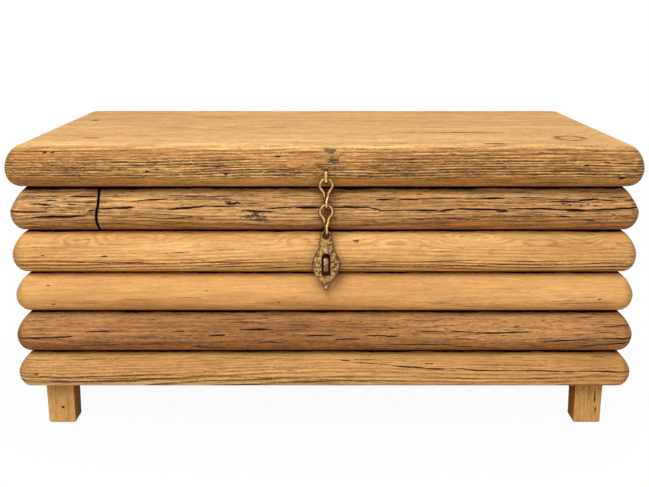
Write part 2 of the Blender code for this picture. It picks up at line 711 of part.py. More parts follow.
def link_path(twist_deg):
    """Points along the closed wire of a twisted link, down one strand and up the other.

    The wire makes a flat ring in the XZ plane, pinches in and twists while it runs
    down, and closes in a round loop turned by the twist angle. The two strands are
    opposite each other about the link's own axis. The ring's top lies at the origin.
    """
    pinch = LINK_WIRE_RADIUS + LINK_PLAY / 2
    ring_end = -LINK_RING_RADIUS * (1 + math.sin(math.radians(LINK_RING_END_DEG)))
    ring_half = LINK_RING_RADIUS * math.cos(math.radians(LINK_RING_END_DEG))
    strand = []
    for step in range(LINK_STRAND_STEPS + 1):
        turn = math.radians(90 - (90 + LINK_RING_END_DEG) * step / LINK_STRAND_STEPS)
        strand.append((LINK_RING_RADIUS * math.cos(turn), LINK_RING_RADIUS * (math.sin(turn) - 1), 0))
    run_end = -LINK_PITCH
    for step in range(1, LINK_STRAND_STEPS):
        share = step / LINK_STRAND_STEPS
        z = ring_end + (run_end - ring_end) * share
        narrowing = smooth_step(share / LINK_PINCH_SHARE)
        widening = smooth_step((share - LINK_PINCH_SHARE) / (1 - LINK_PINCH_SHARE))
        spread = ring_half + (pinch - ring_half) * narrowing + (LINK_LOOP_RADIUS - pinch) * widening
        low, high = LINK_TWIST_SHARES
        strand.append((spread, z, smooth_step((share - low) / (high - low))))
    for step in range(LINK_LOOP_STEPS + 1):
        turn = math.radians(-90 * step / LINK_LOOP_STEPS)
        strand.append((LINK_LOOP_RADIUS * math.cos(turn), run_end + LINK_LOOP_RADIUS * math.sin(turn), 1))
    down = []
    up = []
    for spread, z, twisted in strand:
        turn = -math.radians(twist_deg) * twisted
        down.append((spread * math.cos(turn), spread * math.sin(turn), z))
        up.append((-spread * math.cos(turn), -spread * math.sin(turn), z))
    return down + up[1:-1][::-1]


def twisted_link(name, place, twist_deg, metal):
    """A chain link bent from one closed wire, with its origin where it hangs."""
    path = link_path(twist_deg)
    curve = bpy.data.curves.new(name, "CURVE")
    curve.dimensions = "3D"
    curve.bevel_depth = LINK_WIRE_RADIUS
    curve.bevel_resolution = 3
    wire = curve.splines.new("POLY")
    wire.points.add(len(path) - 1)
    for point, (x, y, z) in zip(wire.points, path):
        point.co = (x, y, z, 1)
    wire.use_cyclic_u = True
    wire.use_smooth = True
    curve.materials.append(metal)
    link = bpy.data.objects.new(name, curve)
    link.location = place
    bpy.context.scene.collection.objects.link(link)
    return link


def upright_disc(name, centre_z, radius, y_span, sides):
    """A round bar along Y at the hasp's middle."""
    turns = [2 * math.pi * side / sides for side in range(sides)]
    rings = [
        [(HASP_OFFSET + radius * math.cos(turn), y, centre_z + radius * math.sin(turn)) for turn in turns]
        for y in y_span
    ]
    return loft(name, rings)


def slot_cutter(y_span):
    """The plate's slot: a round top and a square bottom."""
    half = SLOT_WIDTH / 2
    top_centre = SLOT_Z + SLOT_LENGTH / 2 - half
    bottom = SLOT_Z - SLOT_LENGTH / 2
    outline = [(HASP_OFFSET + half, bottom)]
    for step in range(ROUND_SIDES // 2 + 1):
        turn = math.pi * step / (ROUND_SIDES // 2)
        outline.append((HASP_OFFSET + half * math.cos(turn), top_centre + half * math.sin(turn)))
    outline.append((HASP_OFFSET - half, bottom))
    return loft("plate_slot", [[(x, y, z) for x, z in outline] for y in y_span])


def hasp_plate(metal):
    """The forged plate: an eye at its top, a pear-shaped belly with the slot, a pointed tip."""
    right = []
    for level, share in PLATE_OUTLINE_SHARES:
        right.append((PLATE_WIDTH / 2 * share, PLATE_TOP_Z - PLATE_LENGTH * level))
    outline = [(HASP_OFFSET + half, z) for half, z in right]
    outline += [(HASP_OFFSET - half, z) for half, z in right[::-1]]
    y_span = (CHAIN_Y - PLATE_THICKNESS / 2, CHAIN_Y + PLATE_THICKNESS / 2)
    plate = loft("hasp_plate", [[(x, y, z) for x, z in outline] for y in y_span], metal)
    through = (y_span[0] - CUT_OVERRUN, y_span[1] + CUT_OVERRUN)
    cut(plate, upright_disc("plate_eye", PLATE_EYE_Z, PLATE_EYE_RADIUS, through, ROUND_SIDES))
    cut(plate, slot_cutter(through))
    soften(plate, PLATE_EDGE_BEVEL)
    return plate


def build_trunk():
    """Makes every piece and hangs the moving ones on their axes."""
    lid_wood = finish("lid_wood", (0.66, 0.42, 0.19), 0.72)
    course_woods = (
        finish("course_1_wood", (0.42, 0.24, 0.11), 0.80),
        finish("course_2_wood", (0.66, 0.39, 0.16), 0.72),
        finish("course_3_wood", (0.70, 0.42, 0.15), 0.66),
        finish("course_4_wood", (0.28, 0.15, 0.065), 0.80),
        finish("course_5_wood", (0.50, 0.28, 0.11), 0.74),
    )
    post_wood = finish("post_wood", (0.50, 0.30, 0.12), 0.75)
    inner_wood = finish("inner_wood", (0.45, 0.29, 0.14), 0.80)
    hasp_metal = finish("hasp_metal", (0.32, 0.22, 0.11), 0.45, 0.9)
    hinge_metal = finish("hinge_metal", (0.12, 0.10, 0.08), 0.55, 0.9)

    planks = lid_planks(lid_wood)
    lid_pieces = planks + lid_battens(inner_wood)
    fronts, backs = front_and_back_boards(course_woods)
    side_boards(course_woods)
    corner_posts(post_wood)
    floor_bearers(inner_wood)
    floor_boards(inner_wood)
    lid_pieces += hinges(planks[-1], backs[0], hinge_metal)
    lid_pieces.append(lid_staple(planks[0], hasp_metal))
    levels = course_levels()
    box_staple(list(zip(fronts, [levels[0]] + levels)), hasp_metal)

    hinge_place = (0, HINGE_Y, HINGE_Z)
    lid_axis = pivot_empty("lid_axis", hinge_place)
    for piece in lid_pieces:
        carry(piece, lid_axis, hinge_place)

    upper_place = (HASP_OFFSET, CHAIN_Y, UPPER_LINK_Z)
    lower_place = (HASP_OFFSET, CHAIN_Y, LOWER_LINK_Z)
    plate_place = (HASP_OFFSET, CHAIN_Y, PLATE_PIVOT_Z)
    upper = twisted_link("hasp_link_upper", upper_place, UPPER_LINK_TWIST_DEG, hasp_metal)
    lower = twisted_link("hasp_link_lower", lower_place, LOWER_LINK_TWIST_DEG, hasp_metal)
    plate = hasp_plate(hasp_metal)
    carry(upper, lid_axis, hinge_place)
    carry(lower, upper, upper_place)
    plate_axis = pivot_empty("plate_axis", plate_place)
    carry(plate_axis, lower, lower_place)
    carry(plate, plate_axis, plate_place)


clear_scene()
build_trunk()
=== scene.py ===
import math

import bpy
import mathutils
import numpy as np
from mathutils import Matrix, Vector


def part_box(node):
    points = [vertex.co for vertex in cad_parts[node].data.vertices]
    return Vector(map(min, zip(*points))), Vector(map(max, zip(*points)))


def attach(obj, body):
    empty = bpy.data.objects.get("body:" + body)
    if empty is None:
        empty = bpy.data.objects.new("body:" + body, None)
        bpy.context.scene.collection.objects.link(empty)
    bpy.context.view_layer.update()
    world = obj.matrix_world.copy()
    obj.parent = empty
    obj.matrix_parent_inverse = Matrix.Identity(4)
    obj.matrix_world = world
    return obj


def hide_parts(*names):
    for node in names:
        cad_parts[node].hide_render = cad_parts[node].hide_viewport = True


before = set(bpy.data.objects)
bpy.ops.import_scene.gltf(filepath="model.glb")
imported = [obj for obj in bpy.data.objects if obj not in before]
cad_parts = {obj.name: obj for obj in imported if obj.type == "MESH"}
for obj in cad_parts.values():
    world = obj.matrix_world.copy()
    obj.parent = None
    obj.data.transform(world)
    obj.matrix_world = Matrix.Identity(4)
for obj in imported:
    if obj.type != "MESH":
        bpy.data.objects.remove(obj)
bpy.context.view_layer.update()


# Corner posts. Square pine posts stand inside the four corners, the boards are
# nailed to them, and their lower ends run on down as slightly tapered feet.
# Here the wood itself is set up: how a grain runs, and how a carved face is made.

SHUFFLE = np.random.default_rng(11).permutation(256)
HEIGHTS = np.random.default_rng(12).uniform(-1, 1, 256)


def drift(x, y=0.0, z=0.0, seed=0):
    """Slow random field from -1 to 1: random heights at whole-number places,
    eased in between along each axis by 3t^2 - 2t^3."""
    x, y, z = np.broadcast_arrays(*(np.asarray(a, float) for a in (x, y, z)))
    base = [np.floor(a).astype(int) for a in (x, y, z)]
    eased = [(a - b) ** 2 * (3 - 2 * (a - b)) for a, b in zip((x, y, z), base)]
    total = np.zeros(x.shape)
    for corner in range(8):
        step = (corner & 1, corner >> 1 & 1, corner >> 2 & 1)
        key = SHUFFLE[(base[0] + step[0] + seed * 37) & 255]
        key = SHUFFLE[(key + base[1] + step[1]) & 255]
        key = SHUFFLE[(key + base[2] + step[2]) & 255]
        weight = 1.0
        for way in range(3):
            weight = weight * (eased[way] if step[way] else 1 - eased[way])
        total += HEIGHTS[key] * weight
    return total


def ease(value, low, high):
    """0 below low, 1 above high, and 3t^2 - 2t^3 in between."""
    share = np.clip((value - low) / (high - low), 0, 1)
    return share * share * (3 - 2 * share)


def fade(value, low, high):
    """1 below low and 0 above high."""
    return 1 - ease(value, low, high)


def nose_inset(level, nose):
    """How far a rounded edge has drawn in at a level from -1 at its foot to 1 at its
    top: depth times 1 - (1 - |level|^power)^(1/power). nose gives depth and power
    above the belly and then below it."""
    height = np.clip(np.abs(level), 0, 1)
    (above, power_above), (below, power_below) = nose
    depth = np.where(level > 0, above, below)
    power = np.where(level > 0, power_above, power_below)
    return depth * (1 - (1 - height ** power) ** (1 / power))


def walk_along(line):
    """How far each point of a line lies from its first point, measured along it."""
    return np.concatenate([[0], np.cumsum(np.linalg.norm(np.diff(line, axis=0), axis=1))])


def grid_quads(index):
    """The four corners of every cell of a grid of point numbers."""
    return np.stack(
        [index[:-1, :-1], index[:-1, 1:], index[1:, 1:], index[1:, :-1]], -1).reshape(-1, 4)


# The sides of a board, anticlockwise seen from above. Each side has a corner of the same
# number at its beginning, and INWARD leads from that corner to the board's middle.
SIDES = ("front", "right", "back", "left")
INWARD = np.array([(1, 1), (-1, 1), (-1, -1), (1, -1)])


def side_strip(place, corners, radii, straight, arc):
    """Plan points of one side at every level: half of a corner's arc, the straight
    run, and half of the next corner's arc, anticlockwise seen from above."""
    ends = []
    for step in (0, 1):
        number = (place + step) % 4
        corner, radius = corners[number], radii[number]
        if radius is None:
            ends.append(corner[:, None, :])
            continue
        centre = corner + INWARD[number] * radius[:, None]
        begin = 225 + 90 * place + 45 * step
        turn = np.radians(np.linspace(begin, begin + 45, arc))
        around = np.stack([np.cos(turn), np.sin(turn)], -1)
        ends.append(centre[:, None, :] + radius[:, None, None] * around)
    share = np.linspace(0, 1, straight[place] + 2)[1:-1][None, :, None]
    run = ends[0][:, -1:] * (1 - share) + ends[1][:, :1] * share
    return np.concatenate([ends[0], run, ends[1]], axis=1)


# A corner's radius never falls below this share of the full one.
LEAST_CORNER = 0.12


def carve(spans, noses, belly_share, corner_radius, straight, levels, walked,
          arc=7, bows=None, top_grid=False):
    """A board as one closed skin. Each rounded or bowed side is a grid of levels by
    points along the outline, the top can be a grid blended from its four edges, and
    every other face is one flat polygon. straight gives how many points each side has
    between its corners, and arc how many each half of a corner has. Returns points,
    quads, flats and, for each point, its level and its walk along the rounded edge."""
    (x0, x1), (y0, y1), (z0, z1) = spans
    bows = bows or {}
    belly = z0 + (z1 - z0) * belly_share
    z = belly + levels * np.where(levels > 0, z1 - belly, belly - z0)
    inset = {side: nose_inset(levels, nose) for side, nose in noses.items()}
    still = np.zeros_like(levels)
    limits = {"left": (x0, 1), "right": (x1, -1), "front": (y0, 1), "back": (y1, -1)}
    edge = {
        side: limit + inward * inset.get(side, still) + bows.get(side, still)
        for side, (limit, inward) in limits.items()
    }
    corners, radii = [], []
    for one, two in (("front", "left"), ("front", "right"), ("back", "right"), ("back", "left")):
        corners.append(np.stack([edge[two], edge[one]], -1))
        radii.append(None)
        if one in noses and two in noses:
            drawn = np.minimum(inset[one], inset[two])
            radii[-1] = np.maximum(corner_radius - drawn, corner_radius * LEAST_CORNER)

    points, marks, made = [], [], [0]

    def add(block, level, walk):
        block = np.asarray(block).reshape(-1, 3)
        points.append(block)
        marks.append(np.stack([np.broadcast_to(v, len(block)) for v in (level, walk)], -1))
        made[0] += len(block)
        return np.arange(made[0] - len(block), made[0])

    strips = {}
    for place, side in enumerate(SIDES):
        if side not in noses and side not in bows:
            continue
        plan = side_strip(place, corners, radii, straight, arc)
        wide = plan.shape[1]
        grid = np.concatenate([plan, np.broadcast_to(z[:, None, None], (len(z), wide, 1))], -1)
        index = np.full((len(z), wide), -1)
        if place - 1 in strips:
            index[:, 0] = strips[place - 1][:, -1]
        if place == 3 and 0 in strips:
            index[:, -1] = strips[0][:, 0]
        fresh = index < 0
        level_of = np.broadcast_to(levels[:, None], fresh.shape)[fresh]
        walk_of = np.broadcast_to(walked[:, None], fresh.shape)[fresh]
        index[fresh] = add(grid[fresh], level_of, walk_of)
        strips[place] = index

    columns = []
    for number, corner in enumerate(corners):
        if number in strips:
            columns.append(strips[number][:, 0])
        elif (number - 1) % 4 in strips:
            columns.append(strips[(number - 1) % 4][:, -1])
        else:
            ends = [(*corner[k], z[k]) for k in (0, -1)]
            columns.append(add(ends, levels[[0, -1]], walked[[0, -1]]))

    every = np.concatenate(points)
    rims = []
    for place in range(4):
        if place in strips:
            rims.append(strips[place][-1])
            continue
        first, last = columns[place][-1], columns[(place + 1) % 4][-1]
        rim = [first, last]
        if top_grid:
            across = (place + 2) % 4
            count = strips[across].shape[1] if across in strips else straight[place] + 2
            share = np.linspace(0, 1, count)[1:-1, None]
            between = every[first] * (1 - share) + every[last] * share
            rim = [first, *add(between, 1.0, walked[-1]), last]
        rims.append(np.array(rim))

    quads = [grid_quads(index) for index in strips.values()]
    flats, ring = [], []
    for place in range(4):
        before, after = columns[place], columns[(place + 1) % 4]
        if place not in strips:
            flats.append([*after, *rims[place][::-1][1:-1], *before[::-1]])
        ring.extend(strips[place][0][:-1] if place in strips else before[:1])
    flats.append(ring[::-1])
    if top_grid:
        every = np.concatenate(points)
        front, back = rims[0], rims[2][::-1]
        left, right = rims[3][::-1], rims[1]
        walk_x, walk_y = walk_along(every[front]), walk_along(every[left])
        u = (walk_x / walk_x[-1])[None, :, None]
        v = (walk_y / walk_y[-1])[:, None, None]
        patch = (
            (1 - v) * every[front][None] + v * every[back][None]
            + (1 - u) * every[left][:, None] + u * every[right][:, None]
            - (1 - u) * (1 - v) * every[front[0]] - u * (1 - v) * every[front[-1]]
            - (1 - u) * v * every[back[0]] - u * v * every[back[-1]]
        )
        index = np.full(patch.shape[:2], -1)
        index[0], index[-1], index[:, 0], index[:, -1] = front, back, left, right
        inner = patch[1:-1, 1:-1]
        index[1:-1, 1:-1] = add(inner, 1.0, walked[-1]).reshape(inner.shape[:2])
        quads.append(grid_quads(index))
    else:
        flats.append(np.concatenate([rim[:-1] for rim in rims]))
    return np.concatenate(points), np.concatenate(quads), flats, np.concatenate(marks)


def point_normals(points, quads):
    """The outward direction at each point, summed over the quads round it."""
    a, b, c, d = (points[corner] for corner in quads.T)
    face = np.cross(c - a, d - b)
    normal = np.zeros_like(points)
    for k in range(4):
        np.add.at(normal, quads[:, k], face)
    length = np.linalg.norm(normal, axis=1, keepdims=True)
    return normal / np.maximum(length, 1e-12)


def to_mesh(name, points, quads, flats, marks, materials, sharp=60):
    """A mesh object from arrays: quads take the first material and flats the last.
    marks holds the attributes that the finishes read, one value or vector a point.
    Edges that turn by more than sharp degrees stay sharp."""
    mesh = bpy.data.meshes.new(name)
    mesh.vertices.add(len(points))
    mesh.vertices.foreach_set("co", points.astype(np.float32).ravel())
    corners = np.concatenate([quads.ravel(), *flats]).astype(np.int32)
    sizes = np.array([4] * len(quads) + [len(flat) for flat in flats], np.int32)
    which = np.array([0] * len(quads) + [len(materials) - 1] * len(flats), np.int32)
    mesh.loops.add(len(corners))
    mesh.loops.foreach_set("vertex_index", corners)
    mesh.polygons.add(len(sizes))
    mesh.polygons.foreach_set("loop_start", np.cumsum(sizes, dtype=np.int32) - sizes)
    for material in materials:
        mesh.materials.append(material)
    mesh.polygons.foreach_set("material_index", which)
    mesh.update(calc_edges=True)
    mesh.validate()
    for label, values in marks.items():
        vector = values.ndim == 2
        layer = mesh.attributes.new(label, "FLOAT_VECTOR" if vector else "FLOAT", "POINT")
        layer.data.foreach_set("vector" if vector else "value", values.astype(np.float32).ravel())
    mesh.shade_smooth()
    mesh.set_sharp_from_angle(angle=math.radians(sharp))
    piece = bpy.data.objects.new(name, mesh)
    bpy.context.scene.collection.objects.link(piece)
    return piece


def growth_rings(grain, heart, pitch, seed, swirls):
    """Growth rings as a number that rises by one a ring: the distance from the tree's
    heart line divided by the ring width, bent by slow noise along the grain. Each swirl
    is a bump or hollow that closes some rings into ovals: its middle along and up, its
    half length and half height, and how many rings high it is."""
    wander = 0.006
    along, across, up = grain.T
    middle_across, middle_up, lean_across, lean_up = heart
    reach = np.hypot(
        across - middle_across - lean_across * along, up - middle_up - lean_up * along)
    reach = reach + wander * drift(along * 2.6, across * 7, up * 7, seed)
    reach = reach + wander * 0.3 * drift(along * 9, across * 28, up * 28, seed + 1)
    rings = reach / pitch
    for middle, place, long, tall, count in swirls:
        off = ((along - middle) / long) ** 2 + ((up - place) / tall) ** 2
        rings = rings + count * np.exp(-off)
    return rings + 0.5 * drift(rings * 0.37, seed=seed + 2)


def crest_of(rings):
    """Height of the hard late wood in each ring: a slow rise and a quick fall."""
    phase = rings - np.floor(rings)
    return ease(phase, 0.15, 0.8) * fade(phase, 0.86, 1.0)


def open_cracks(along, walk, cracks, seed):
    """Depth and darkness of drying cracks. Each crack is a line on the face with a
    slow wobble, as wide as a stretched half circle along it, and V-shaped across.
    Nothing further than reach above or below its ends belongs to it."""
    reach = 0.006
    depth, dark = np.zeros(len(along)), np.zeros(len(along))
    for number, (x0, w0, x1, w1, half, deep) in enumerate(cracks):
        near = (along > x0) & (along < x1)
        near &= (walk > min(w0, w1) - reach) & (walk < max(w0, w1) + reach)
        if not near.any():
            continue
        x, w = along[near], walk[near]
        share = (x - x0) / (x1 - x0)
        middle = w0 + (w1 - w0) * share
        middle = middle + 0.0008 * drift(x * 32, number * 3.1, seed=seed)
        middle = middle + 0.0003 * drift(x * 150, number * 5.3, seed=seed + 1)
        wide = np.sqrt(np.clip(1 - (2 * share - 1) ** 2, 0, 1))
        wide = wide * (0.85 + 0.30 * drift(x * 48, number * 7.7, seed=seed + 2))
        off = np.abs(w - middle) / ((0.60 + 0.35 * deep) * half * np.maximum(wide, 0.05))
        cut = (1.9 * half - 0.0004) * wide * np.clip(1 - off, 0, 1) ** 0.7
        depth[near] = np.maximum(depth[near], cut)
        line, halo = deep * fade(off, 0.55, 1.35), 0.24 * deep * fade(off, 1.2, 3.2)
        dark[near] = np.maximum(dark[near], np.minimum(line + halo, deep) * (wide > 0.06))
    return depth, dark


def srgb(red, green, blue):
    """A colour given as it looks on a screen, 0 to 255, as the shader's linear one."""
    parts = [c / 255 for c in (red, green, blue)]
    return (*(c / 12.92 if c <= 0.04045 else ((c + 0.055) / 1.055) ** 2.4 for c in parts), 1.0)


def give(tree, made, socket, value):
    """Gives a node's input a value or another node's output."""
    if isinstance(value, bpy.types.NodeSocket):
        tree.links.new(value, made.inputs[socket])
    else:
        made.inputs[socket].default_value = value


def node(tree, kind, inputs=None, **settings):
    """One shader node with its settings and its inputs."""
    made = tree.nodes.new("ShaderNode" + kind)
    for setting, value in settings.items():
        setattr(made, setting, value)
    for socket, value in (inputs or {}).items():
        give(tree, made, socket, value)
    return made


def blended(tree, share, one, two, kind="MIX"):
    """A mix of two colours by a share."""
    inputs = {0: share, 6: one, 7: two}
    return node(tree, "Mix", inputs, data_type="RGBA", blend_type=kind).outputs[2]


def sums(tree, operation, *values):
    """One step of arithmetic on values."""
    return node(tree, "Math", dict(enumerate(values)), operation=operation).outputs[0]


def times(tree, one, two):
    """Two values multiplied."""
    return sums(tree, "MULTIPLY", one, two)


def shaded(tree, colour, red, green=None, blue=None):
    """A colour multiplied by a grey, or by a share for each of its three parts."""
    parts = {0: red, 1: green or red, 2: blue or red}
    shade = node(tree, "CombineColor", parts).outputs[0]
    return blended(tree, 1.0, colour, shade, "MULTIPLY")


def ramped(tree, value, low, high, start=0.0, end=1.0):
    """A value eased from start to end while it goes from low to high."""
    inputs = {"Value": value, "From Min": low, "From Max": high, "To Min": start, "To Max": end}
    return node(tree, "MapRange", inputs, interpolation_type="SMOOTHSTEP").outputs["Result"]


def stretched_noise(tree, point, along, across, detail=3.0, rough=0.55):
    """Noise in streaks that follow the grain, with so many per metre along and across."""
    place = node(tree, "Mapping", {"Vector": point, "Scale": (along, across, across)}).outputs[0]
    inputs = {"Vector": place, "Scale": 1.0, "Detail": detail, "Roughness": rough}
    return node(tree, "TexNoise", inputs).outputs[0]


def new_surface(name):
    """A new material, its nodes and its main shader."""
    material = bpy.data.materials.new(name)
    material.use_nodes = True
    return material, material.node_tree, material.node_tree.nodes["Principled BSDF"]


def surface(tree, shader, colour, rough, specular, height, strength, depth):
    """Joins a colour, a roughness and a bump of so many metres to the main shader."""
    tree.links.new(colour, shader.inputs["Base Color"])
    tree.links.new(rough, shader.inputs["Roughness"])
    shader.inputs["Specular IOR Level"].default_value = specular
    bump = node(tree, "Bump", {"Height": height, "Strength": strength, "Distance": depth})
    tree.links.new(bump.outputs[0], shader.inputs["Normal"])


def effect(name, inputs, outputs):
    """An empty node group with named sockets: f a number, c a colour, v a vector."""
    group = bpy.data.node_groups.new(name, "ShaderNodeTree")
    kinds = {"f": "NodeSocketFloat", "c": "NodeSocketColor", "v": "NodeSocketVector"}
    for way, sockets in (("INPUT", inputs), ("OUTPUT", outputs)):
        for socket, kind in sockets.items():
            group.interface.new_socket(socket, in_out=way, socket_type=kinds[kind])
    given = group.nodes.new("NodeGroupInput").outputs
    return group, given, group.nodes.new("NodeGroupOutput").inputs


# Weathered pine: broad streaks, ring lines with pale crests and dirty troughs, fine
# fibres, short dark pores and pale flecks, worn fibres painted bright as glints.
pine, given, result = effect(
    "weathered_pine",
    {"Grain": "v", "Rings": "f", "Pale": "c", "Body": "c", "Late": "c", "Crest": "c",
     "Lines": "f", "Streaks": "f", "Fibre": "f", "Pores": "f", "Flecks": "f", "Mottle": "f"},
    {"Color": "c", "Height": "f", "Dull": "f"},
)


def streaky(*way):
    """Noise along the grain of the pine."""
    return stretched_noise(pine, given["Grain"], *way)


PORE_BROWN, WORN_GLINT_GOLD = srgb(38, 20, 8), srgb(252, 220, 150)
fibres = streaky(24, 430, 4.0, 0.75)
bent = sums(pine, "MULTIPLY_ADD", streaky(18, 120, 2.0), 0.5, given["Rings"])
phase = sums(pine, "FRACT", bent)
crest = times(pine, ramped(pine, phase, 0.42, 0.66), ramped(pine, phase, 0.80, 0.94, 1.0, 0.0))
before, after = ramped(pine, phase, 0.86, 0.98), ramped(pine, phase, 0.10, 0.42, 1.0, 0.0)
trough = sums(pine, "MINIMUM", sums(pine, "ADD", before, after), 1.0)
lines = times(pine, given["Lines"], ramped(pine, streaky(7, 70, 2.0), 0.3, 0.6, 0.3, 1.0))
streak = times(pine, ramped(pine, streaky(2.2, 42, 4.0), 0.35, 0.68), given["Streaks"])
colour = blended(pine, streak, given["Body"], given["Pale"])
bands = ramped(pine, streaky(7, 210, 3.0, 0.6), 0.5, 0.72)
shadow = times(pine, bands, times(pine, given["Streaks"], 0.55))
colour = blended(pine, shadow, colour, given["Late"])
colour = blended(pine, times(pine, trough, lines), colour, given["Late"])
colour = blended(pine, times(pine, crest, lines), colour, given["Crest"])
hairs = sums(pine, "ABSOLUTE", sums(pine, "SUBTRACT", streaky(5, 270, 3.0, 0.5), 0.5))
sparse = times(pine, ramped(pine, streaky(11, 60, 3.0), 0.42, 0.62), given["Pores"])
hair = times(pine, ramped(pine, hairs, 0.0, 0.030, 1.0, 0.0), sparse)
colour = blended(pine, hair, colour, blended(pine, 0.35, given["Late"], PORE_BROWN))
fibre = times(pine, sums(pine, "SUBTRACT", fibres, 0.5), times(pine, given["Fibre"], 2.6))
cloud = times(pine, sums(pine, "SUBTRACT", streaky(6, 22, 4.0, 0.6), 0.5), 0.4)
scratchy = sums(pine, "SUBTRACT", streaky(85, 340, 4.0, 0.8), 0.5)
even = sums(pine, "ADD", sums(pine, "ADD", fibre, cloud), 1.0)
colour = shaded(pine, colour, sums(pine, "MULTIPLY_ADD", scratchy, given["Mottle"], even))
pore = times(pine, ramped(pine, streaky(55, 430, 3.0, 0.7), 0.60, 0.70), given["Pores"])
colour = blended(pine, pore, colour, blended(pine, 0.6, given["Late"], PORE_BROWN))
# Pale flecks: worn fibre tips, painted bright as glints.
fleck = times(pine, ramped(pine, streaky(130, 470, 2.0, 0.7), 0.60, 0.70), given["Flecks"])
colour = blended(pine, fleck, colour, WORN_GLINT_GOLD)
ridges = sums(pine, "SUBTRACT", crest, hair)
height = times(pine, fibres, times(pine, given["Fibre"], 0.8))
height = sums(pine, "MULTIPLY_ADD", ridges, lines, height)
height = sums(pine, "SUBTRACT", sums(pine, "ADD", height, fleck), pore)
dull = sums(pine, "MULTIPLY_ADD", fibres, 0.16, times(pine, pore, 0.2))
for socket, value in (("Color", colour), ("Height", height), ("Dull", dull)):
    pine.links.new(value, result[socket])


# Where the wood is darkened, by its tone or by painted shade, its blue goes down most:
# powers of that darkening in red, green, blue.
DARKER = (1.0, 1.42, 1.95)


def wood_finish(name, pale, body, late, lines, streaks, fibre, pores, flecks,
                mottle=0.8, crest=None):
    """A waxed weathered board: the pine group, then the marks kept on each point, which
    are wear, a tone with painted shade and light in it, stains, painted shade with some
    dirt in the grooves, and open cracks."""
    material, tree, shader = new_surface(name)
    labels = ("grain", "rings", "bold", "tone", "wear", "stain", "grime", "crack")
    mark = {label: node(tree, "Attribute", attribute_name=label).outputs for label in labels}
    grain = mark.pop("grain")["Vector"]
    mark = {label: outputs["Fac"] for label, outputs in mark.items()}
    vivid = sums(tree, "MULTIPLY_ADD", mark["bold"], 0.65, 0.35)
    wood = node(tree, "Group", node_tree=pine)
    for socket, value in {
        "Grain": grain, "Rings": mark["rings"],
        "Pale": pale, "Body": body, "Late": late, "Crest": crest or pale,
        "Lines": times(tree, mark["bold"], lines), "Streaks": streaks,
        "Fibre": times(tree, vivid, fibre), "Pores": pores,
        "Flecks": times(tree, vivid, flecks), "Mottle": times(tree, vivid, mottle),
    }.items():
        give(tree, wood, socket, value)
    ragged = stretched_noise(tree, grain, 90, 420, 3.0, 0.6)
    smudge = stretched_noise(tree, grain, 210, 430, 4.0, 0.75)
    worn = times(tree, mark["wear"], ramped(tree, smudge, 0.46, 0.62))
    colour = blended(tree, worn, wood.outputs["Color"], srgb(252, 212, 142))
    # The tone mark carries each board's random tone with its painted shade and light.
    light = sums(tree, "MAXIMUM", sums(tree, "ADD", mark["tone"], 1.0), 0.05)
    colour = shaded(tree, colour, *(sums(tree, "POWER", light, power) for power in DARKER))
    specks = sums(tree, "MULTIPLY_ADD", mark["stain"], 0.24, smudge)
    spread = ramped(tree, mark["stain"], 0.0, 0.12, 0.0, 0.92)
    stained = times(tree, ramped(tree, specks, 0.68, 0.75), spread)
    colour = blended(tree, stained, colour, srgb(62, 52, 44))
    open_wood = sums(tree, "SUBTRACT", mark["crack"], 0.25)
    edge = sums(tree, "MULTIPLY_ADD", ragged, 0.5, open_wood)
    colour = blended(tree, ramped(tree, edge, 0.12, 0.45), colour, srgb(74, 42, 20))
    colour = blended(tree, ramped(tree, edge, 0.42, 0.72), colour, srgb(24, 14, 8))
    # Near black where the groove mark is high: painted shade in grooves, recesses and under edges,
    # with dirt in the joints.
    shade_and_soot = sums(tree, "MULTIPLY_ADD", ragged, 0.3, sums(tree, "SUBTRACT", mark["grime"], 0.15))
    colour = blended(tree, ramped(tree, shade_and_soot, 0.2, 0.8), colour, srgb(14, 8, 5))
    rough = sums(tree, "ADD", wood.outputs["Dull"], 0.54)
    surface(tree, shader, colour, rough, 0.2, wood.outputs["Height"], 0.85, 0.0008)
    return material


def sawn_finish(name, body, dark, coordinates="grain"):
    """Plain sawn pine for faces that no tool has rounded: faint rings and fibres. The
    grain follows the mark of that name, or it runs along X, or across it along Y."""
    material, tree, shader = new_surface(name)
    if coordinates == "grain":
        grain = node(tree, "Attribute", attribute_name="grain").outputs["Vector"]
    else:
        turn = (0, 0, math.radians(90)) if coordinates == "across" else (0, 0, 0)
        place = node(tree, "TexCoord").outputs["Object"]
        grain = node(tree, "Mapping", {"Vector": place, "Rotation": turn}).outputs[0]
    spread = node(tree, "Mapping", {"Vector": grain, "Scale": (0.6, 1.0, 1.0)}).outputs[0]
    wave = node(tree, "TexWave", {
        "Vector": spread, "Scale": 55.0, "Distortion": 3.5, "Detail": 2.0, "Detail Scale": 0.35,
    }, wave_type="RINGS", rings_direction="X").outputs[1]
    fibres = stretched_noise(tree, grain, 60, 900, 3.0, 0.6)
    broad = ramped(tree, stretched_noise(tree, grain, 3, 30, 3.0), 0.3, 0.7)
    share = sums(tree, "MULTIPLY_ADD", wave, 0.35, times(tree, broad, 0.4))
    colour = blended(tree, share, body, dark)
    colour = shaded(tree, colour, sums(tree, "MULTIPLY_ADD", fibres, 0.5, 0.75))
    rough = sums(tree, "MULTIPLY_ADD", fibres, 0.2, 0.62)
    surface(tree, shader, colour, rough, 0.25, fibres, 0.4, 0.0004)
    return material


sawn_pine = sawn_finish("sawn_pine", srgb(196, 150, 98), srgb(140, 94, 52))


# Rings follow a board's face round until so far behind it. A hole so deep is black, and
# it is as high as this share of its length. Relief fades out between these two levels,
# where the rounded edge runs into the flat faces that lie on the next boards.
WRAPPED, BLACK_HOLE, HOLE_LENGTH, FLAT_FROM = (0.008, 0.04), 0.0012, 0.38, (0.93, 0.998)


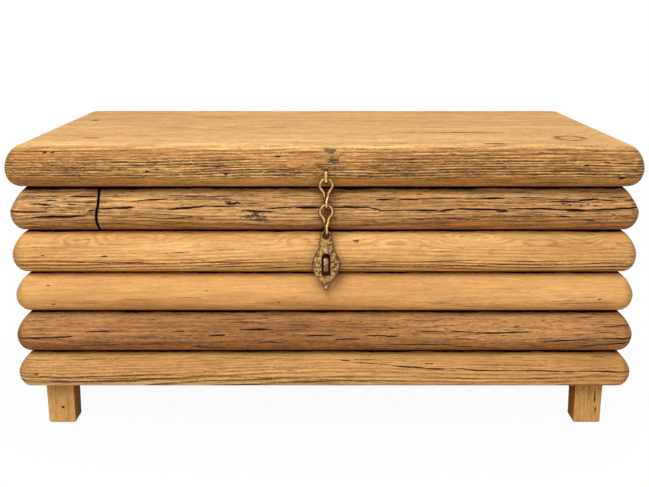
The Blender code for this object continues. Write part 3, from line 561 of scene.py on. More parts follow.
def weathered(name, shape, finish, along, heart, pitch, *, seed, relief=0.0003, dents=0.0003,
              cracks=(), pits=(), scratches=None, swirls=(), bold=None, tone=None, wear=None,
              stain=None, grime=None, lid_top=False, face=None):
    """One board: its skin from carve, with ring relief, dents and cracks pressed in along
    the outward direction, and the marks that its finish reads. Each mark is a function
    of the place along the grain, the walk and level of the rounded edge, the place as
    the grain sees it and the outward direction. face gives the place of the board's
    front and the front's nose: near the corners the rings follow that face round."""
    points, quads, flats, (level, walk) = *shape[:3], shape[3].T
    order = {"x": (0, 1, 2), "y": (1, 0, 2), "z": (2, 0, 1)}[along]
    grain = points[:, order].copy()
    wrapped = grain.copy()
    if face:
        front = face[0] + nose_inset(level, face[1])
        behind = np.where(level < 0.999, grain[:, 1] - front, 1.0)
        wrapped[:, 1] -= behind * fade(behind, *WRAPPED)
    rings = growth_rings(wrapped, heart, pitch, seed, swirls)
    x = grain[:, 0]
    outward = point_normals(points, quads)
    free = 1.0 if lid_top else fade(np.abs(level), *FLAT_FROM)
    depth, dark = open_cracks(x, walk, cracks, seed)
    for px, pw, radius, deep in pits:
        off = np.hypot((x - px) * HOLE_LENGTH, walk - pw) / radius
        off = off * (1 + 0.3 * drift(x * 400, walk * 400, seed=seed + 3))
        depth = np.maximum(depth, deep * np.clip(1 - off * off, 0, 1))
        dark = np.maximum(dark, min(deep / BLACK_HOLE, 1.0) * fade(off, 0.75, 1.15))
    lines = (1 - crest_of(rings)) * (0.55 + 0.45 * drift(x * 9, walk * 60, seed=seed + 4))
    end_face = np.abs(outward[:, order[0]])
    lines = lines * (1 - 0.7 * ease(end_face, 0.5, 0.9))
    if lid_top:
        lines = lines * (1 - 0.92 * ease(outward[:, 2], 0.55, 0.92))

    def marked(by, plain=0.0):
        return by(x, walk, level, grain, outward) if by else np.full(len(points), plain)

    boldness = marked(bold, 1.0)
    lines = lines * boldness
    dark = np.maximum(dark, marked(scratches))
    slow = drift(x * 14, grain[:, 1] * 30, grain[:, 2] * 30, seed + 5)
    slow = slow + 0.5 * drift(x * 45, grain[:, 1] * 110, grain[:, 2] * 110, seed + 6)
    fine = drift(x * 150, grain[:, 1] * 800, grain[:, 2] * 800, seed + 7)
    push = relief * lines + dents * (0.55 - 0.45 * slow) + 0.00005 * fine
    push = push * free + depth * free
    points = points - outward * push[:, None]
    marks = {
        "grain": grain + np.array([seed * 1.37, seed * 0.71, seed * 0.43]), "rings": rings,
        "bold": boldness, "crack": dark * free, "tone": marked(tone), "wear": marked(wear),
        "stain": marked(stain), "grime": marked(grime),
    }
    return to_mesh(name, points, quads, flats, marks, finish)


def put(piece, body):
    """Hands a finished skin over: it moves with its body and stands for the CAD node
    whose name it has before _skin."""
    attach(piece, body)
    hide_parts(piece.name[:-5])


foot_pine = wood_finish(
    "foot_pine", srgb(234, 182, 108), srgb(216, 162, 92), srgb(140, 88, 40),
    lines=0.2, streaks=0.5, fibre=0.45, pores=0.35, flecks=0.2,
)


def foot_shade_and_grime(x, walk, level, grain, outward):
    """Painted shade where the wood comes out under the boards, and a little darkening at
    the floor.
    """
    height = grain[:, 0] + 0.003 * drift(grain[:, 1] * 90, grain[:, 2] * 90, seed=71)
    under = ease(height, 0.062, 0.076) * fade(height, 0.080, 0.092)
    return 0.9 * under + 0.35 * fade(height, 0.0, 0.007)


def foot_marks(x, walk, level, grain, outward):
    """A small knot on the face of the left foot and a dark split on the right one."""
    across = grain[:, 1]
    knot = np.hypot(x - FOOT_KNOT[1], across - FOOT_KNOT[0]) / FOOT_KNOT_RADIUS
    knot = knot + 0.3 * drift(x * 500, across * 500, seed=73)
    split = np.abs(across - FOOT_SPLIT_X - 0.001 * drift(x * 120, seed=74)) / 0.0010
    split = np.where((x > FOOT_SPLIT_Z[0]) & (x < FOOT_SPLIT_Z[1]), split, 9.0)
    return np.maximum(0.8 * fade(knot, 0.6, 1.3), 0.55 * fade(split, 0.5, 1.5))


def foot_shade(x, walk, level, grain, outward):
    """The inward sides of the feet are dark, and the tops a little."""
    inward = fade(np.abs(grain[:, 1]), INNER_SIDE, INNER_SIDE + 0.0012)
    rough = 0.08 * drift(x * 60, grain[:, 1] * 300, grain[:, 2] * 300, 72)
    dark = (0.42 * inward + 0.22 * ease(x, 0.042, 0.070)) * fade(x, 0.075, 0.090)
    return rough - 0.02 - dark


def spans_of(name):
    """The spans of a CAD node along X, Y and Z."""
    return tuple(zip(*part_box(name)))


FOOT_KNOT, FOOT_KNOT_RADIUS = (-0.4370, 0.0275), 0.0024
FOOT_SPLIT_X, FOOT_SPLIT_Z = 0.4510, (0.010, 0.056)
INNER_SIDE = spans_of("post_front_right")[0][0] + 0.0005
FOOT_ROUND, FOOT_TAPER, FOOT_HEIGHT = 0.004, 0.0018, 0.072
FLAT = ((0.0, 2.0), (0.0, 2.0))
post_top = spans_of("post_front_left")[2][1]
heights = np.concatenate([
    np.linspace(0, FOOT_ROUND, 9), np.linspace(0.0048, 0.09, 100), np.linspace(0.1, post_top, 24)])
draw = 1 - np.sqrt(np.clip(1 - (1 - np.minimum(heights / FOOT_ROUND, 1)) ** 2, 0, 1))
draw = FOOT_ROUND * draw
slope = FOOT_TAPER * np.clip(1 - heights / FOOT_HEIGHT, 0, 1)
for facing, place in ((-1, "front"), (1, "back")):
    for side, hand in ((-1, "left"), (1, "right")):
        span_x, span_y, _ = spans_of(f"post_{place}_{hand}")
        outer_x, outer_y = span_x[side > 0], span_y[facing > 0]
        bows = {
            "left": draw + slope * (side < 0), "right": -draw - slope * (side > 0),
            "front": draw + slope * (facing < 0), "back": -draw - slope * (facing > 0),
        }
        shape = carve(
            (span_x, span_y, (0, post_top)), dict.fromkeys(SIDES, FLAT), 0.5, 0.0022,
            (16, 16, 16, 16), heights / post_top * 2 - 1, heights - post_top / 2,
            arc=3, bows=bows,
        )
        piece = weathered(
            f"post_{place}_{hand}_skin", shape, [foot_pine, sawn_pine], "z",
            (outer_x - side * 0.07, outer_y + facing * 0.02, 0.02, 0.01), 0.0042,
            seed=21 + 3 * (facing > 0) + 5 * (side > 0), relief=0.00018, dents=0.0004,
            swirls=((0.020, outer_y, 0.016, 0.5, 3.0),), scratches=foot_marks,
            tone=foot_shade, grime=foot_shade_and_grime,
        )
        put(piece, "box")


# Side boards. Five on each side, cut off between the front and the back boards, with
# their outer edges worked round like those of the front. Nailed to the posts.

BOARD_BELLY, BOARD_CORNER, RING_WIDTH = 0.43, 0.020, 0.0034
BOARD_NOSES = {
    number: ((0.0285, power), (under, 2.1))
    for number, power, under in zip(
        range(1, 6), (1.25, 1.55, 1.53, 1.50, 1.52), (0.026, 0.026, 0.026, 0.026, 0.019))
}
course_pines = {
    number: wood_finish(f"course_{number}_pine", *(srgb(*c) for c in colours), *amounts)
    for number, colours, amounts in (
        (1, ((226, 171, 106), (192, 138, 79), (88, 49, 21)), (0.75, 0.68, 1.15, 1.0, 0.4, 2.1)),
        (2, ((246, 190, 118), (224, 164, 94), (124, 72, 30)), (0.95, 0.45, 0.65, 0.4, 0.9, 1.2)),
        (3, ((234, 178, 107), (222, 163, 94), (150, 90, 42)), (0.4, 0.3, 0.5, 0.12, 0.2, 1.2)),
        (4, ((200, 144, 84), (166, 109, 57), (66, 33, 13)), (0.5, 0.6, 0.75, 0.8, 0.15, 3.2)),
        (5, ((226, 168, 98), (200, 142, 80), (98, 58, 24)), (1.0, 0.5, 0.75, 0.5, 0.6, 1.2)),
    )
}


def even_levels(height, belly_share, nose, count):
    """Levels from -1 to 1 that lie evenly along a rounded edge, and how far along the
    edge each lies from the belly."""
    fine = np.sin(np.linspace(-np.pi / 2, np.pi / 2, 6001))
    inset = nose_inset(fine, nose)
    rise = height * fine * np.where(fine > 0, 1 - belly_share, belly_share)
    walked = np.concatenate([[0], np.cumsum(np.hypot(np.diff(inset), np.diff(rise)))])
    levels = np.interp(np.linspace(0, walked[-1], count), walked, fine)
    return levels, np.interp(levels, fine, walked) - np.interp(0, fine, walked)


def seam_painted_shade(seed, nose, low, high):
    """Painted shade, black, in the grooves between courses: it starts where the rounded
    edge has drawn in far enough, along a wavering line, at low in the lower edge and at
    high in the upper one."""
    def grime(x, walk, level, grain, outward):
        inset = nose_inset(level, nose)
        waver = 0.0011 * drift(x * 26, seed=seed) + 0.0006 * drift(x * 130, seed=seed + 1)
        start = np.where(level > 0, high, low) + waver
        return 0.9 * ease(inset, start - 0.0022, start + 0.0006)
    return grime


def mottled_and_shaded(seed, overall=0.0, lower=0.0, end=0.0):
    """Slow light and dark patches along a board, a darker left end, painted shade on its
    lower half, and painted brown shade beside the grooves and near both ends."""
    def tone(x, walk, level, grain, outward):
        slow = drift(x * 4, walk * 20, seed=seed) + 0.6 * drift(x * 14, walk * 60, seed=seed + 1)
        slow = slow + 0.5 * drift(x * 40, walk * 150, seed=seed + 2)
        # Painted shade: lower on the lower half, and the 0.20 and 0.18 terms by grooves and ends.
        dark = overall + lower * ease(-level, -0.1, 0.8) + end * fade(x, -0.42, -0.36)
        dark = dark + 0.20 * ease(np.abs(level), 0.75, 0.97) + 0.18 * ease(np.abs(x), 0.480, 0.501)
        return 0.10 * slow - dark
    return tone


def random_cracks(generator, first, length, lean, half, count):
    """Drying cracks at random on a face: where they start, how long they are, how far
    they lean aside and how wide they are, each between two limits."""
    spans = (first, length, (-0.026, 0.026), (-lean, lean), (0.0003, half))
    rows = zip(*(generator.uniform(*span, count) for span in spans))
    return [(x, w, x + long, w + aside, wide, 0.8) for x, long, w, aside, wide in rows]


def course_board(number, name, noses, nose, straight, way, heart, spread, seed, cracks, groove):
    """One board of a course on a side that the photo doesn't show. heart is how far the
    tree's heart lies across, spread how much its lean varies, groove where the painted
    shade in the grooves starts."""
    spans = spans_of(name)
    low, high = spans[2]
    levels, walked = even_levels(high - low, BOARD_BELLY, nose, 84)
    shape = carve(spans, noses, BOARD_BELLY, BOARD_CORNER, straight, levels, walked)
    generator = np.random.default_rng(seed)
    cracks = random_cracks(generator, *cracks)
    up = (low + high) / 2 + 0.02 * generator.uniform(-1, 1)
    lean = spread * generator.uniform(-1, 1)
    piece = weathered(
        name + "_skin", shape, [course_pines[number], sawn_pine], way, (heart, up, lean, 0.01),
        RING_WIDTH, seed=seed, cracks=cracks, tone=mottled_and_shaded(seed),
        grime=seam_painted_shade(seed, nose, *groove),
    )
    put(piece, "box")


for number, nose in BOARD_NOSES.items():
    for side, hand in ((-1, "left"), (1, "right")):
        course_board(
            number, f"{hand}_board_{number}", {hand: nose}, nose, (1, 140, 1, 140), "y",
            side * 0.38, 0.02, 40 + number * 4 + (side > 0),
            ((-0.29, 0.2), (0.04, 0.22), 0.003, 0.0008, 6), (0.0215, 0.0215),
        )


# Back boards. Five full-length boards whose rounded ends close over the side boards.
# The top one carries the let-in hinge leaves. Nailed to the posts.

BACK_NOSE = ((0.021, 2.1), (0.021, 2.1))
for number, nose in BOARD_NOSES.items():
    course_board(
        number, f"back_board_{number}", {"left": nose, "right": nose, "back": BACK_NOSE},
        BACK_NOSE, (1, 5, 200, 5), "x", 0.24, 0.015, 70 + number * 3,
        ((-0.5, 0.3), (0.05, 0.35), 0.004, 0.0009, 9), (0.0155, 0.012),
    )


# Front boards. Five courses again; the top one is two reclaimed lengths that meet
# along a bowed joint near its left end. Old pine, dried out and cracked along the
# grain, worked round along the edges, nailed to the posts and waxed.

# Each crack: from (x, z) to (x, z) on the face and its half width, in millimetres,
# and how dark it is.
FRONT_CRACKS = {
    1: (
        (-481, 388.3, -413, 389.1, 0.8, 0.7), (-405, 387.9, -359, 388.3, 1.1, 0.95),
        (-442, 383.2, -423, 382.3, 0.7, 0.8), (-465, 376.8, -430, 376.3, 0.9, 0.85),
        (-407, 376.0, -392, 375.6, 1.3, 1), (-505, 365.2, -436, 365.5, 1.2, 1),
        (-463, 355.6, -376, 358.9, 1.5, 1), (-409, 347.6, -390, 347.2, 0.6, 0.6),
        (-375, 367.0, -359, 368.5, 1.2, 0.95), (-356, 368.8, -299, 372.1, 1.5, 1),
        (-306, 380.3, -248, 384.9, 1.1, 0.95), (-354, 388.0, -308, 388.9, 0.6, 0.6),
        (-246, 389.5, -186, 388.3, 0.9, 0.8), (-189, 387.5, -145, 389.2, 1, 0.9),
        (-165, 384.3, -146, 384.5, 0.7, 0.75), (-250, 368.5, -185, 374.1, 1.5, 1),
        (-188, 373.9, -139, 372.5, 0.9, 0.8), (-157, 378.4, -133, 377.9, 1.3, 0.8),
        (-130, 377.4, -103, 377.5, 0.8, 0.75), (-133, 366.4, -76, 365.8, 1.1, 0.85),
        (-90, 369.9, -41, 372.1, 1.2, 0.9), (-45, 371.9, -4, 371.2, 1.6, 1),
        (-275, 354.3, -188, 356.6, 0.8, 0.6), (-84, 390.0, -7, 388.3, 0.7, 0.6),
        (9, 371.5, 74, 372.4, 1.6, 1), (70, 371.2, 90, 367.6, 1.0, 0.9),
        (82, 382.9, 110, 383.6, 1.5, 1), (117, 383.7, 167, 384.0, 1.2, 0.95),
        (164, 384.9, 218, 385.8, 0.8, 0.8),
        (85, 366.7, 126, 367.6, 1.2, 0.95), (123, 367.9, 184, 366.8, 1.2, 0.95),
        (181, 366.1, 206, 369.4, 1.4, 1), (202, 369.7, 290, 368.5, 1.5, 1),
        (131, 353.6, 186, 353.1, 0.9, 0.75), (183, 354.3, 248, 353.2, 0.9, 0.75),
        (220, 384.2, 247, 384.5, 0.8, 0.7), (239, 384.6, 291, 385.2, 1.3, 0.85),
        (304, 386.9, 351, 386.0, 0.8, 0.75), (271, 366.7, 290, 366.4, 1.1, 0.9),
        (290, 370.9, 372, 368.5, 1.6, 1), (366, 368.8, 426, 367.6, 1.7, 1),
        (420, 367.9, 505, 370.9, 1.4, 1), (367, 380.0, 408, 380.6, 1.1, 0.9),
        (403, 381.7, 434, 383.7, 1.3, 0.95), (430, 383.4, 465, 380.8, 1.1, 0.9),
        (451, 386.3, 477, 385.9, 1, 0.85), (474, 381.7, 505, 382.2, 1.1, 0.9),
        (233, 357.7, 372, 358.2, 0.8, 0.7), (411, 351.4, 430, 351.0, 1, 0.8),
        (366, 357.9, 391, 356.6, 1, 0.8), (475, 354.4, 505, 353.9, 0.9, 0.8),
    ),
    2: (
        (-445, 283.9, -246, 281.0, 1.3, 0.5), (-249, 282.8, -23, 281.0, 1, 0.45),
        (-279, 275.9, -20, 274.4, 1, 0.5), (31, 282.5, 248, 286.3, 1.1, 0.5),
        (32, 276.3, 233, 275.5, 0.9, 0.45), (-358, 292.9, -344, 293.2, 0.8, 0.7),
        (44, 319.2, 54, 314.1, 1, 0.7), (233, 277.8, 376, 281.2, 0.9, 0.5),
        (377, 274.2, 505, 276.7, 1, 0.6), (388, 304.4, 445, 297.0, 0.5, 0.4),
        (-468, 306.8, -405, 304.7, 0.5, 0.35), (424, 282.3, 487, 283.5, 0.8, 0.55),
        (152, 299.2, 232, 302.6, 0.6, 0.35),
    ),
    3: (
        (-328, 221.0, -280, 220.5, 0.6, 0.45), (-240, 224.3, -192, 223.4, 0.6, 0.5),
        (-148, 214.6, -55, 215.3, 0.5, 0.35), (130, 216.4, 202, 215.0, 0.6, 0.45),
        (170, 209.9, 243, 209.1, 0.5, 0.4), (366, 218.6, 403, 220.0, 0.7, 0.55),
        (391, 225.1, 462, 225.8, 0.5, 0.4), (379, 213.8, 468, 215.7, 0.6, 0.45),
        (251, 212.7, 356, 211.5, 0.5, 0.4), (33, 242.1, 122, 241.4, 0.4, 0.25),
    ),
    4: (
        (-505, 157.4, -438, 157.8, 1.2, 0.95), (-443, 158.1, -406, 160.5, 1.1, 0.9),
        (-385, 167.4, -340, 168.9, 1.1, 0.85), (-399, 144.2, -331, 145.4, 1, 0.8),
        (-336, 145.0, -250, 147.5, 0.8, 0.65), (-243, 168.0, -225, 168.6, 0.9, 0.75),
        (-188, 161.1, -160, 163.3, 1.2, 0.9), (-139, 171.6, -84, 171.9, 1.3, 0.95),
        (-88, 171.0, -26, 171.3, 0.7, 0.6), (-218, 142.1, -157, 139.4, 1.1, 0.85),
        (-112, 148.8, -65, 150.0, 0.9, 0.7), (-31, 162.1, 16, 162.1, 1.3, 0.95),
        (17, 155.4, 59, 156.1, 1.1, 0.85), (64, 162.1, 101, 162.1, 1.2, 0.9),
        (98, 160.8, 121, 161.4, 1, 0.8), (100, 146.2, 207, 145.8, 1.1, 0.8),
        (204, 141.7, 253, 141.2, 1, 0.75), (143, 168.6, 195, 167.7, 0.9, 0.7),
        (202, 168.0, 252, 167.4, 0.9, 0.7), (211, 156.4, 239, 155.4, 1, 0.8),
        (245, 165.5, 333, 167.4, 1.2, 0.85), (341, 151.8, 427, 155.0, 1.1, 0.8),
        (449, 156.1, 505, 156.7, 1.2, 0.9), (400, 138.5, 453, 146.5, 1.4, 0.95),
        (447, 145.8, 505, 150.0, 1.3, 0.9), (237, 140.8, 286, 140.3, 1, 0.7),
        (440, 175.1, 505, 178.3, 0.8, 0.7), (-328, 186.7, -266, 185.9, 0.6, 0.5),
        (115, 187.3, 171, 183.1, 0.6, 0.5), (-487, 183.7, -451, 184.5, 0.6, 0.55),
    ),
    5: (
        (-505, 86.7, -251, 89.4, 0.7, 0.5), (-505, 79.7, -260, 83.2, 0.6, 0.45),
        (-430, 92.6, -248, 94.4, 0.6, 0.4), (-259, 94.7, -20, 89.0, 0.7, 0.5),
        (-255, 87.5, -15, 81.1, 0.6, 0.45), (-23, 88.6, 124, 77.9, 0.7, 0.5),
        (26, 118.3, 42, 116.7, 0.9, 0.75), (45, 115.9, 115, 110.0, 0.8, 0.7),
        (110, 110.3, 169, 105.6, 1, 0.85), (166, 105.6, 198, 105.9, 1.1, 0.9),
        (193, 105.3, 254, 104.1, 0.7, 0.65), (237, 103.2, 306, 103.5, 1, 0.8),
        (302, 103.2, 392, 100.7, 1, 0.8), (387, 100.4, 410, 101.9, 1, 0.8),
        (407, 101.9, 505, 100.4, 1.1, 0.9), (356, 79.7, 402, 81.5, 0.7, 0.6),
        (115, 99.1, 188, 94.0, 0.5, 0.4), (211, 90.8, 251, 87.5, 0.8, 0.6),
        (50, 110.0, 156, 101.3, 0.5, 0.4),
    ),
}


def hairline_cracks(seed, count, span, walk_low, walk_high):
    """Many short fine cracks at random along a board: place, length and lean."""
    generator = np.random.default_rng(seed)
    x = generator.uniform(span[0], span[1], count)
    length = 0.014 + 0.08 * generator.uniform(0, 1, count) ** 2
    w = generator.uniform(walk_low, walk_high, count)
    lean = generator.uniform(-0.0016, 0.0016, count)
    half = generator.uniform(0.00025, 0.0005, count)
    deep = generator.uniform(0.35, 0.8, count)
    return list(zip(x, w, x + length, w + lean, half, deep))


def smudges(rows, seed):
    """Soft-edged stains: ovals given by middle, half length and half height."""
    def stain(x, walk, level, grain, outward):
        amount = np.zeros(len(x))
        for middle_x, middle_w, long, tall, strength in rows:
            off = np.hypot((x - middle_x) / long, (walk - middle_w) / tall)
            off = off + 0.35 * drift(x * 90, walk * 260, seed=seed)
            amount = np.maximum(amount, strength * fade(off, 0.4, 1.2))
        return amount
    return stain


# The heart line of each board's tree, Y and Z at the middle of the trunk and its lean
# in Y and Z, and how much darker the board is: all over, and in its lower half, where
# it is painted shade (painted light where it is below zero).
FRONT_HEARTS = {
    1: (-0.272, 0.382, 0.004, 0.006), 2: (-0.281, 0.312, 0.004, 0.003),
    3: (-0.235, 0.246, 0.004, 0.010), 4: (-0.265, 0.171, -0.006, -0.008),
    5: (-0.272, 0.119, 0.006, 0.004),
}
SHADE = {1: (0.02, 0.32), 2: (-0.02, 0.16), 3: (0.0, 0.14), 4: (-0.02, 0.34), 5: (0.0, -0.10)}
# Rings closed into ovals: middle X and Z, half length and height, rings high.
SWIRLS = {
    2: ((-0.395, 0.3185, 0.028, 0.0075, 2.6), (-0.300, 0.3225, 0.035, 0.006, -2.0),
        (-0.165, 0.3165, 0.050, 0.008, 2.8), (-0.045, 0.3190, 0.030, 0.008, 2.4),
        (0.120, 0.3170, 0.055, 0.009, 2.6), (0.235, 0.3190, 0.030, 0.007, -2.2),
        (0.345, 0.3180, 0.045, 0.008, 2.6), (0.455, 0.3160, 0.025, 0.009, 2.2)),
    5: ((0.440, 0.1080, 0.030, 0.010, 2.0), (-0.190, 0.1260, 0.060, 0.006, 1.5)),
}
# How strongly the rings show at each level of each front board, from foot to top.
BOLD_LEVELS = (-1, -0.8, -0.35, -0.15, 0.3, 1)
BOLD = {
    1: (0.3, 0.5, 0.7, 0.6, 0.6, 0.5), 2: (0.5, 1.0, 1.0, 0.45, 0.30, 0.22),
    3: (0.3, 0.8, 0.7, 0.3, 0.25, 0.2), 4: (0.4, 0.6, 0.6, 0.4, 0.35, 0.3),
    5: (0.6, 1.0, 1.0, 0.8, 0.35, 0.25),
}
# Small holes in the face: X and Z of the middle, radius and depth, in millimetres.
FRONT_PITS = {
    1: ((-135, 378.2, 1.2, 1.2), (-142, 377.9, 1.5, 1.2), (-151, 377.7, 1.4, 1.2),
        (-155, 380.4, 1.0, 1.2), (378, 377.5, 0.9, 0.9), (388, 374.6, 1.0, 1.2),
        (406, 373.1, 0.8, 0.9), (417, 376.5, 0.9, 0.9), (428, 373.9, 0.8, 0.9)),
    2: ((53, 317.8, 1.1, 0.9), (-349, 293.9, 1.0, 1.0), (-448, 294.5, 0.9, 0.9)),
    3: ((-444, 243.6, 1.3, 0.5), (-437, 213.3, 1.1, 0.9), (-189, 235.6, 0.9, 0.5),
        (-73, 216.4, 0.9, 0.8), (442, 222.1, 1.3, 0.5)),
    4: ((-169, 151.1, 0.9, 0.8), (316, 161.4, 0.9, 0.8), (310, 176.0, 2.4, 0.35)),
    5: ((168, 112.8, 0.8, 1.2), (171, 112.5, 0.8, 1.2), (175, 112.8, 0.9, 1.2),
        (-470, 97.0, 1.6, 0.5)),
}
# Stains: X and Z of the middle, half length and half height in millimetres, strength.
FRONT_STAINS = {1: (
    (-108, 355.6, 29, 9.5, 1.15), (-112, 365.6, 34, 3.0, 1.0), (-146, 378.0, 14, 4.2, 1.1))}
HAIRLINES = {1: 60, 2: 20, 3: 0, 4: 60, 5: 40}
# Width of the columns of a front board's skin.
COLUMN = 0.0029
# The left length's CAD box ends so far past the line of the joint, and the right one's
# left face lies so far right of it.
LEFT_PAST_JOINT, RIGHT_OF_JOINT = 0.005, 0.001
joint_x = spans_of("front_board_1_right")[0][0] - RIGHT_OF_JOINT
# The middle of the hasp, and of the painted shadow that it casts on the wood, how much
# lower that painted shadow lies than the hasp, and its half width at each height of the
# hasp.
HASP_X, SHADOW_X, SHADOW_DROP = 0.0024, 0.0034, 0.0035
SHADOW = np.array((
    (0.238, 0.001), (0.2437, 0.004), (0.2485, 0.0057), (0.2547, 0.0106), (0.2614, 0.0165),
    (0.2677, 0.0200), (0.2764, 0.0220), (0.2841, 0.0216), (0.2928, 0.0189), (0.3011, 0.0145),
    (0.3088, 0.0116), (0.3140, 0.0116), (0.3250, 0.0090), (0.3340, 0.0060), (0.345, 0.004),
    (0.352, 0.007), (0.362, 0.0115), (0.376, 0.0105), (0.388, 0.004), (0.394, 0.006),
    (0.404, 0.0115), (0.418, 0.0105),
))


def hasp_painted_shadow(tone):
    """Adds the painted shadow of the chain and the plate on the wood behind them, and
    painted shade on the groove seen through the plate's eye.
    """
    def darker(x, walk, level, grain, outward):
        z = grain[:, 2]
        half = np.interp(z + SHADOW_DROP, *SHADOW.T)
        aside = np.abs(x - SHADOW_X) - half + 0.0012 * drift(x * 260, z * 420, seed=6)
        near = 0.33 * fade(aside, -0.0025, 0.0034) + 0.15 * fade(aside, 0.0, 0.013)
        eye_painted_shade = ease(z, 0.306, 0.312) * fade(z, 0.334, 0.338)
        near = near + 0.45 * fade(np.abs(x - HASP_X), 0.0045, 0.0075) * eye_painted_shade
        return tone(x, walk, level, grain, outward) - near * ease(z, 0.232, 0.240)
    return darker


def joint_line(level):
    """How far the joint of the two lengths bends aside at each level."""
    bends = (0.0006, -0.0008, -0.0020, -0.0018, -0.0008, 0.0006, 0.0010, 0.0008, 0.0)
    return np.interp(level, (-1, -0.7, -0.4, -0.15, 0.05, 0.3, 0.5, 0.8, 1), bends)


for number, nose in BOARD_NOSES.items():
    parts = ("_left", "_right") if number == 1 else ("",)
    low, high = spans_of(f"front_board_{number}{parts[0]}")[2]
    levels, walked = even_levels(high - low, BOARD_BELLY, nose, 140)
    belly = low + (high - low) * BOARD_BELLY
    heights = 1e3 * (belly + levels * np.where(levels > 0, high - belly, belly - low))
    cracks = [
        (x0 / 1e3, np.interp(z0, heights, walked), x1 / 1e3, np.interp(z1, heights, walked),
         half / 1e3, deep) for x0, z0, x1, z1, half, deep in FRONT_CRACKS[number]]
    pits, stains = ([
        (px / 1e3, np.interp(pz, heights, walked), long / 1e3, tall / 1e3, *strength)
        for px, pz, long, tall, *strength in rows
    ] for rows in (FRONT_PITS[number], FRONT_STAINS.get(number, ())))
    seed = 100 + number * 7
    # Painted shade in the grooves between courses.
    groove = seam_painted_shade(seed, nose, 0.0225, 0.0225)

    def bold(x, walk, level, grain, outward):
        fades = 0.35 if number == 5 else 0.0
        return np.interp(level, BOLD_LEVELS, BOLD[number]) * (1 - fades * ease(x, -0.1, 0.2))

    # Painted shade in grooves and behind the slot, and the dark joint of the two lengths.
    def grime(x, walk, level, grain, outward):
        # The recess behind the plate's slot is painted near black, as shade.
        slot_painted_shade = fade(np.abs(x - HASP_X), 0.0075, 0.0105)
        slot_painted_shade = slot_painted_shade * ease(grain[:, 2], 0.262, 0.266)
        slot_painted_shade = slot_painted_shade * fade(grain[:, 2], 0.297, 0.303)
        amount = np.maximum(groove(x, walk, level, grain, outward), 0.74 * slot_painted_shade)
        if number > 1:
            return amount
        gap = np.abs(x - (joint_x + joint_line(level)) - 0.0003 * drift(walk * 300, seed=5))
        return np.maximum(amount, fade(gap, 0.0010, 0.0019))

    for part in parts:
        span_x, span_y, span_z = spans_of(f"front_board_{number}{part}")
        hairs = hairline_cracks(300 + number, HAIRLINES[number], span_x, walked[12], walked[-14])
        noses, bows = {"front": nose, "left": nose, "right": nose}, {}
        if part == "_left":
            span_x = (span_x[0], span_x[1] - LEFT_PAST_JOINT)
        if part:
            joined = "right" if part == "_left" else "left"
            noses.pop(joined)
            bows[joined] = joint_line(levels)
        shape = carve(
            (span_x, span_y, span_z), noses, BOARD_BELLY, BOARD_CORNER,
            (int((span_x[1] - span_x[0]) / COLUMN), 10, 1, 10), levels, walked,
            arc=9, bows=bows,
        )
        piece = weathered(
            f"front_board_{number}{part}_skin", shape, [course_pines[number], sawn_pine], "x",
            FRONT_HEARTS[number], RING_WIDTH, seed=seed, relief=0.0005,
            cracks=cracks + hairs, pits=pits, swirls=SWIRLS.get(number, ()), bold=bold,
            # Random tone, painted shade, and the hasp's painted shadow.
            tone=hasp_painted_shadow(mottled_and_shaded(seed, *SHADE[number], -0.07 * (number == 1))),
            stain=smudges(stains, 9), grime=grime, face=(span_y[0], nose),
        )
        put(piece, "box")


# Floor. Three cross bearers between the lowest front and back boards, and six loose
# boards on them. Sawn pine, left bare.

def dress(prefix, material):
    """Gives the CAD nodes whose names begin so a material of their own."""
    for name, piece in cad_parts.items():
        if name.startswith(prefix):
            piece.data.materials.clear()
            piece.data.materials.append(material)


bare_pine = sawn_finish("bare_pine", srgb(190, 148, 100), srgb(146, 102, 60), "along")
bare_pine_across = sawn_finish(
    "bare_pine_across", srgb(186, 142, 94), srgb(142, 98, 58), "across")
dress("floor_board", bare_pine)
dress("floor_bearer", bare_pine_across)


# Lid. Four planks edge to edge, their rim worked round, the front one with a broad
# soft shoulder. Two battens under it hold them, each screwed to every plank.

LID_NOSE, LID_FRONT_NOSE = ((0.028, 1.8), (0.025, 2.1)), ((0.045, 2.6), (0.022, 2.6))
LID_BELLY = 0.43
# For each plank the heart line of its tree, the skin's points along and across it, and
# the radius of its corners.
PLANKS = {
    "front": ((-0.27, 0.330, 0.003, 0.004), 330, 64, 0.024),
    "second": ((-0.03, 0.36, 0.02, 0.01), 240, 44, 0.024),
    "third": ((0.10, 0.35, -0.02, 0.0), 240, 44, 0.024),
    "back": ((0.25, 0.37, 0.01, 0.0), 240, 46, 0.038),
}
lid_spans = [spans_of(f"lid_plank_{name}") for name in PLANKS]
seams = [spans[1][0] for spans in lid_spans[1:]]
lid_bottom, lid_top = lid_spans[0][2]
lid_pine = wood_finish(
    "lid_pine", srgb(238, 184, 114), srgb(214, 156, 90), srgb(92, 48, 20),
    lines=1.0, streaks=0.5, fibre=1.7, pores=0.5, flecks=2.0, mottle=2.9,
    crest=srgb(255, 210, 136),
)
dress("lid_batten", bare_pine_across)
# Marks along the top: from X to X, the middle and half width across, and how dark.
LID_MARKS = (
    (0.105, 0.190, -0.1128, 0.0045, 0.34), (0.180, 0.312, -0.1128, 0.0060, 0.55),
    (-0.398, -0.372, -0.2010, 0.0040, 0.46), (-0.386, -0.374, -0.1900, 0.0050, 0.50),
    (-0.449, -0.430, 0.1087, 0.0090, 0.52), (-0.402, -0.380, -0.1878, 0.0075, 0.42),
    (-0.255, -0.183, 0.1650, 0.0150, 0.30), (0.250, 0.287, -0.2700, 0.0060, 0.50),
)
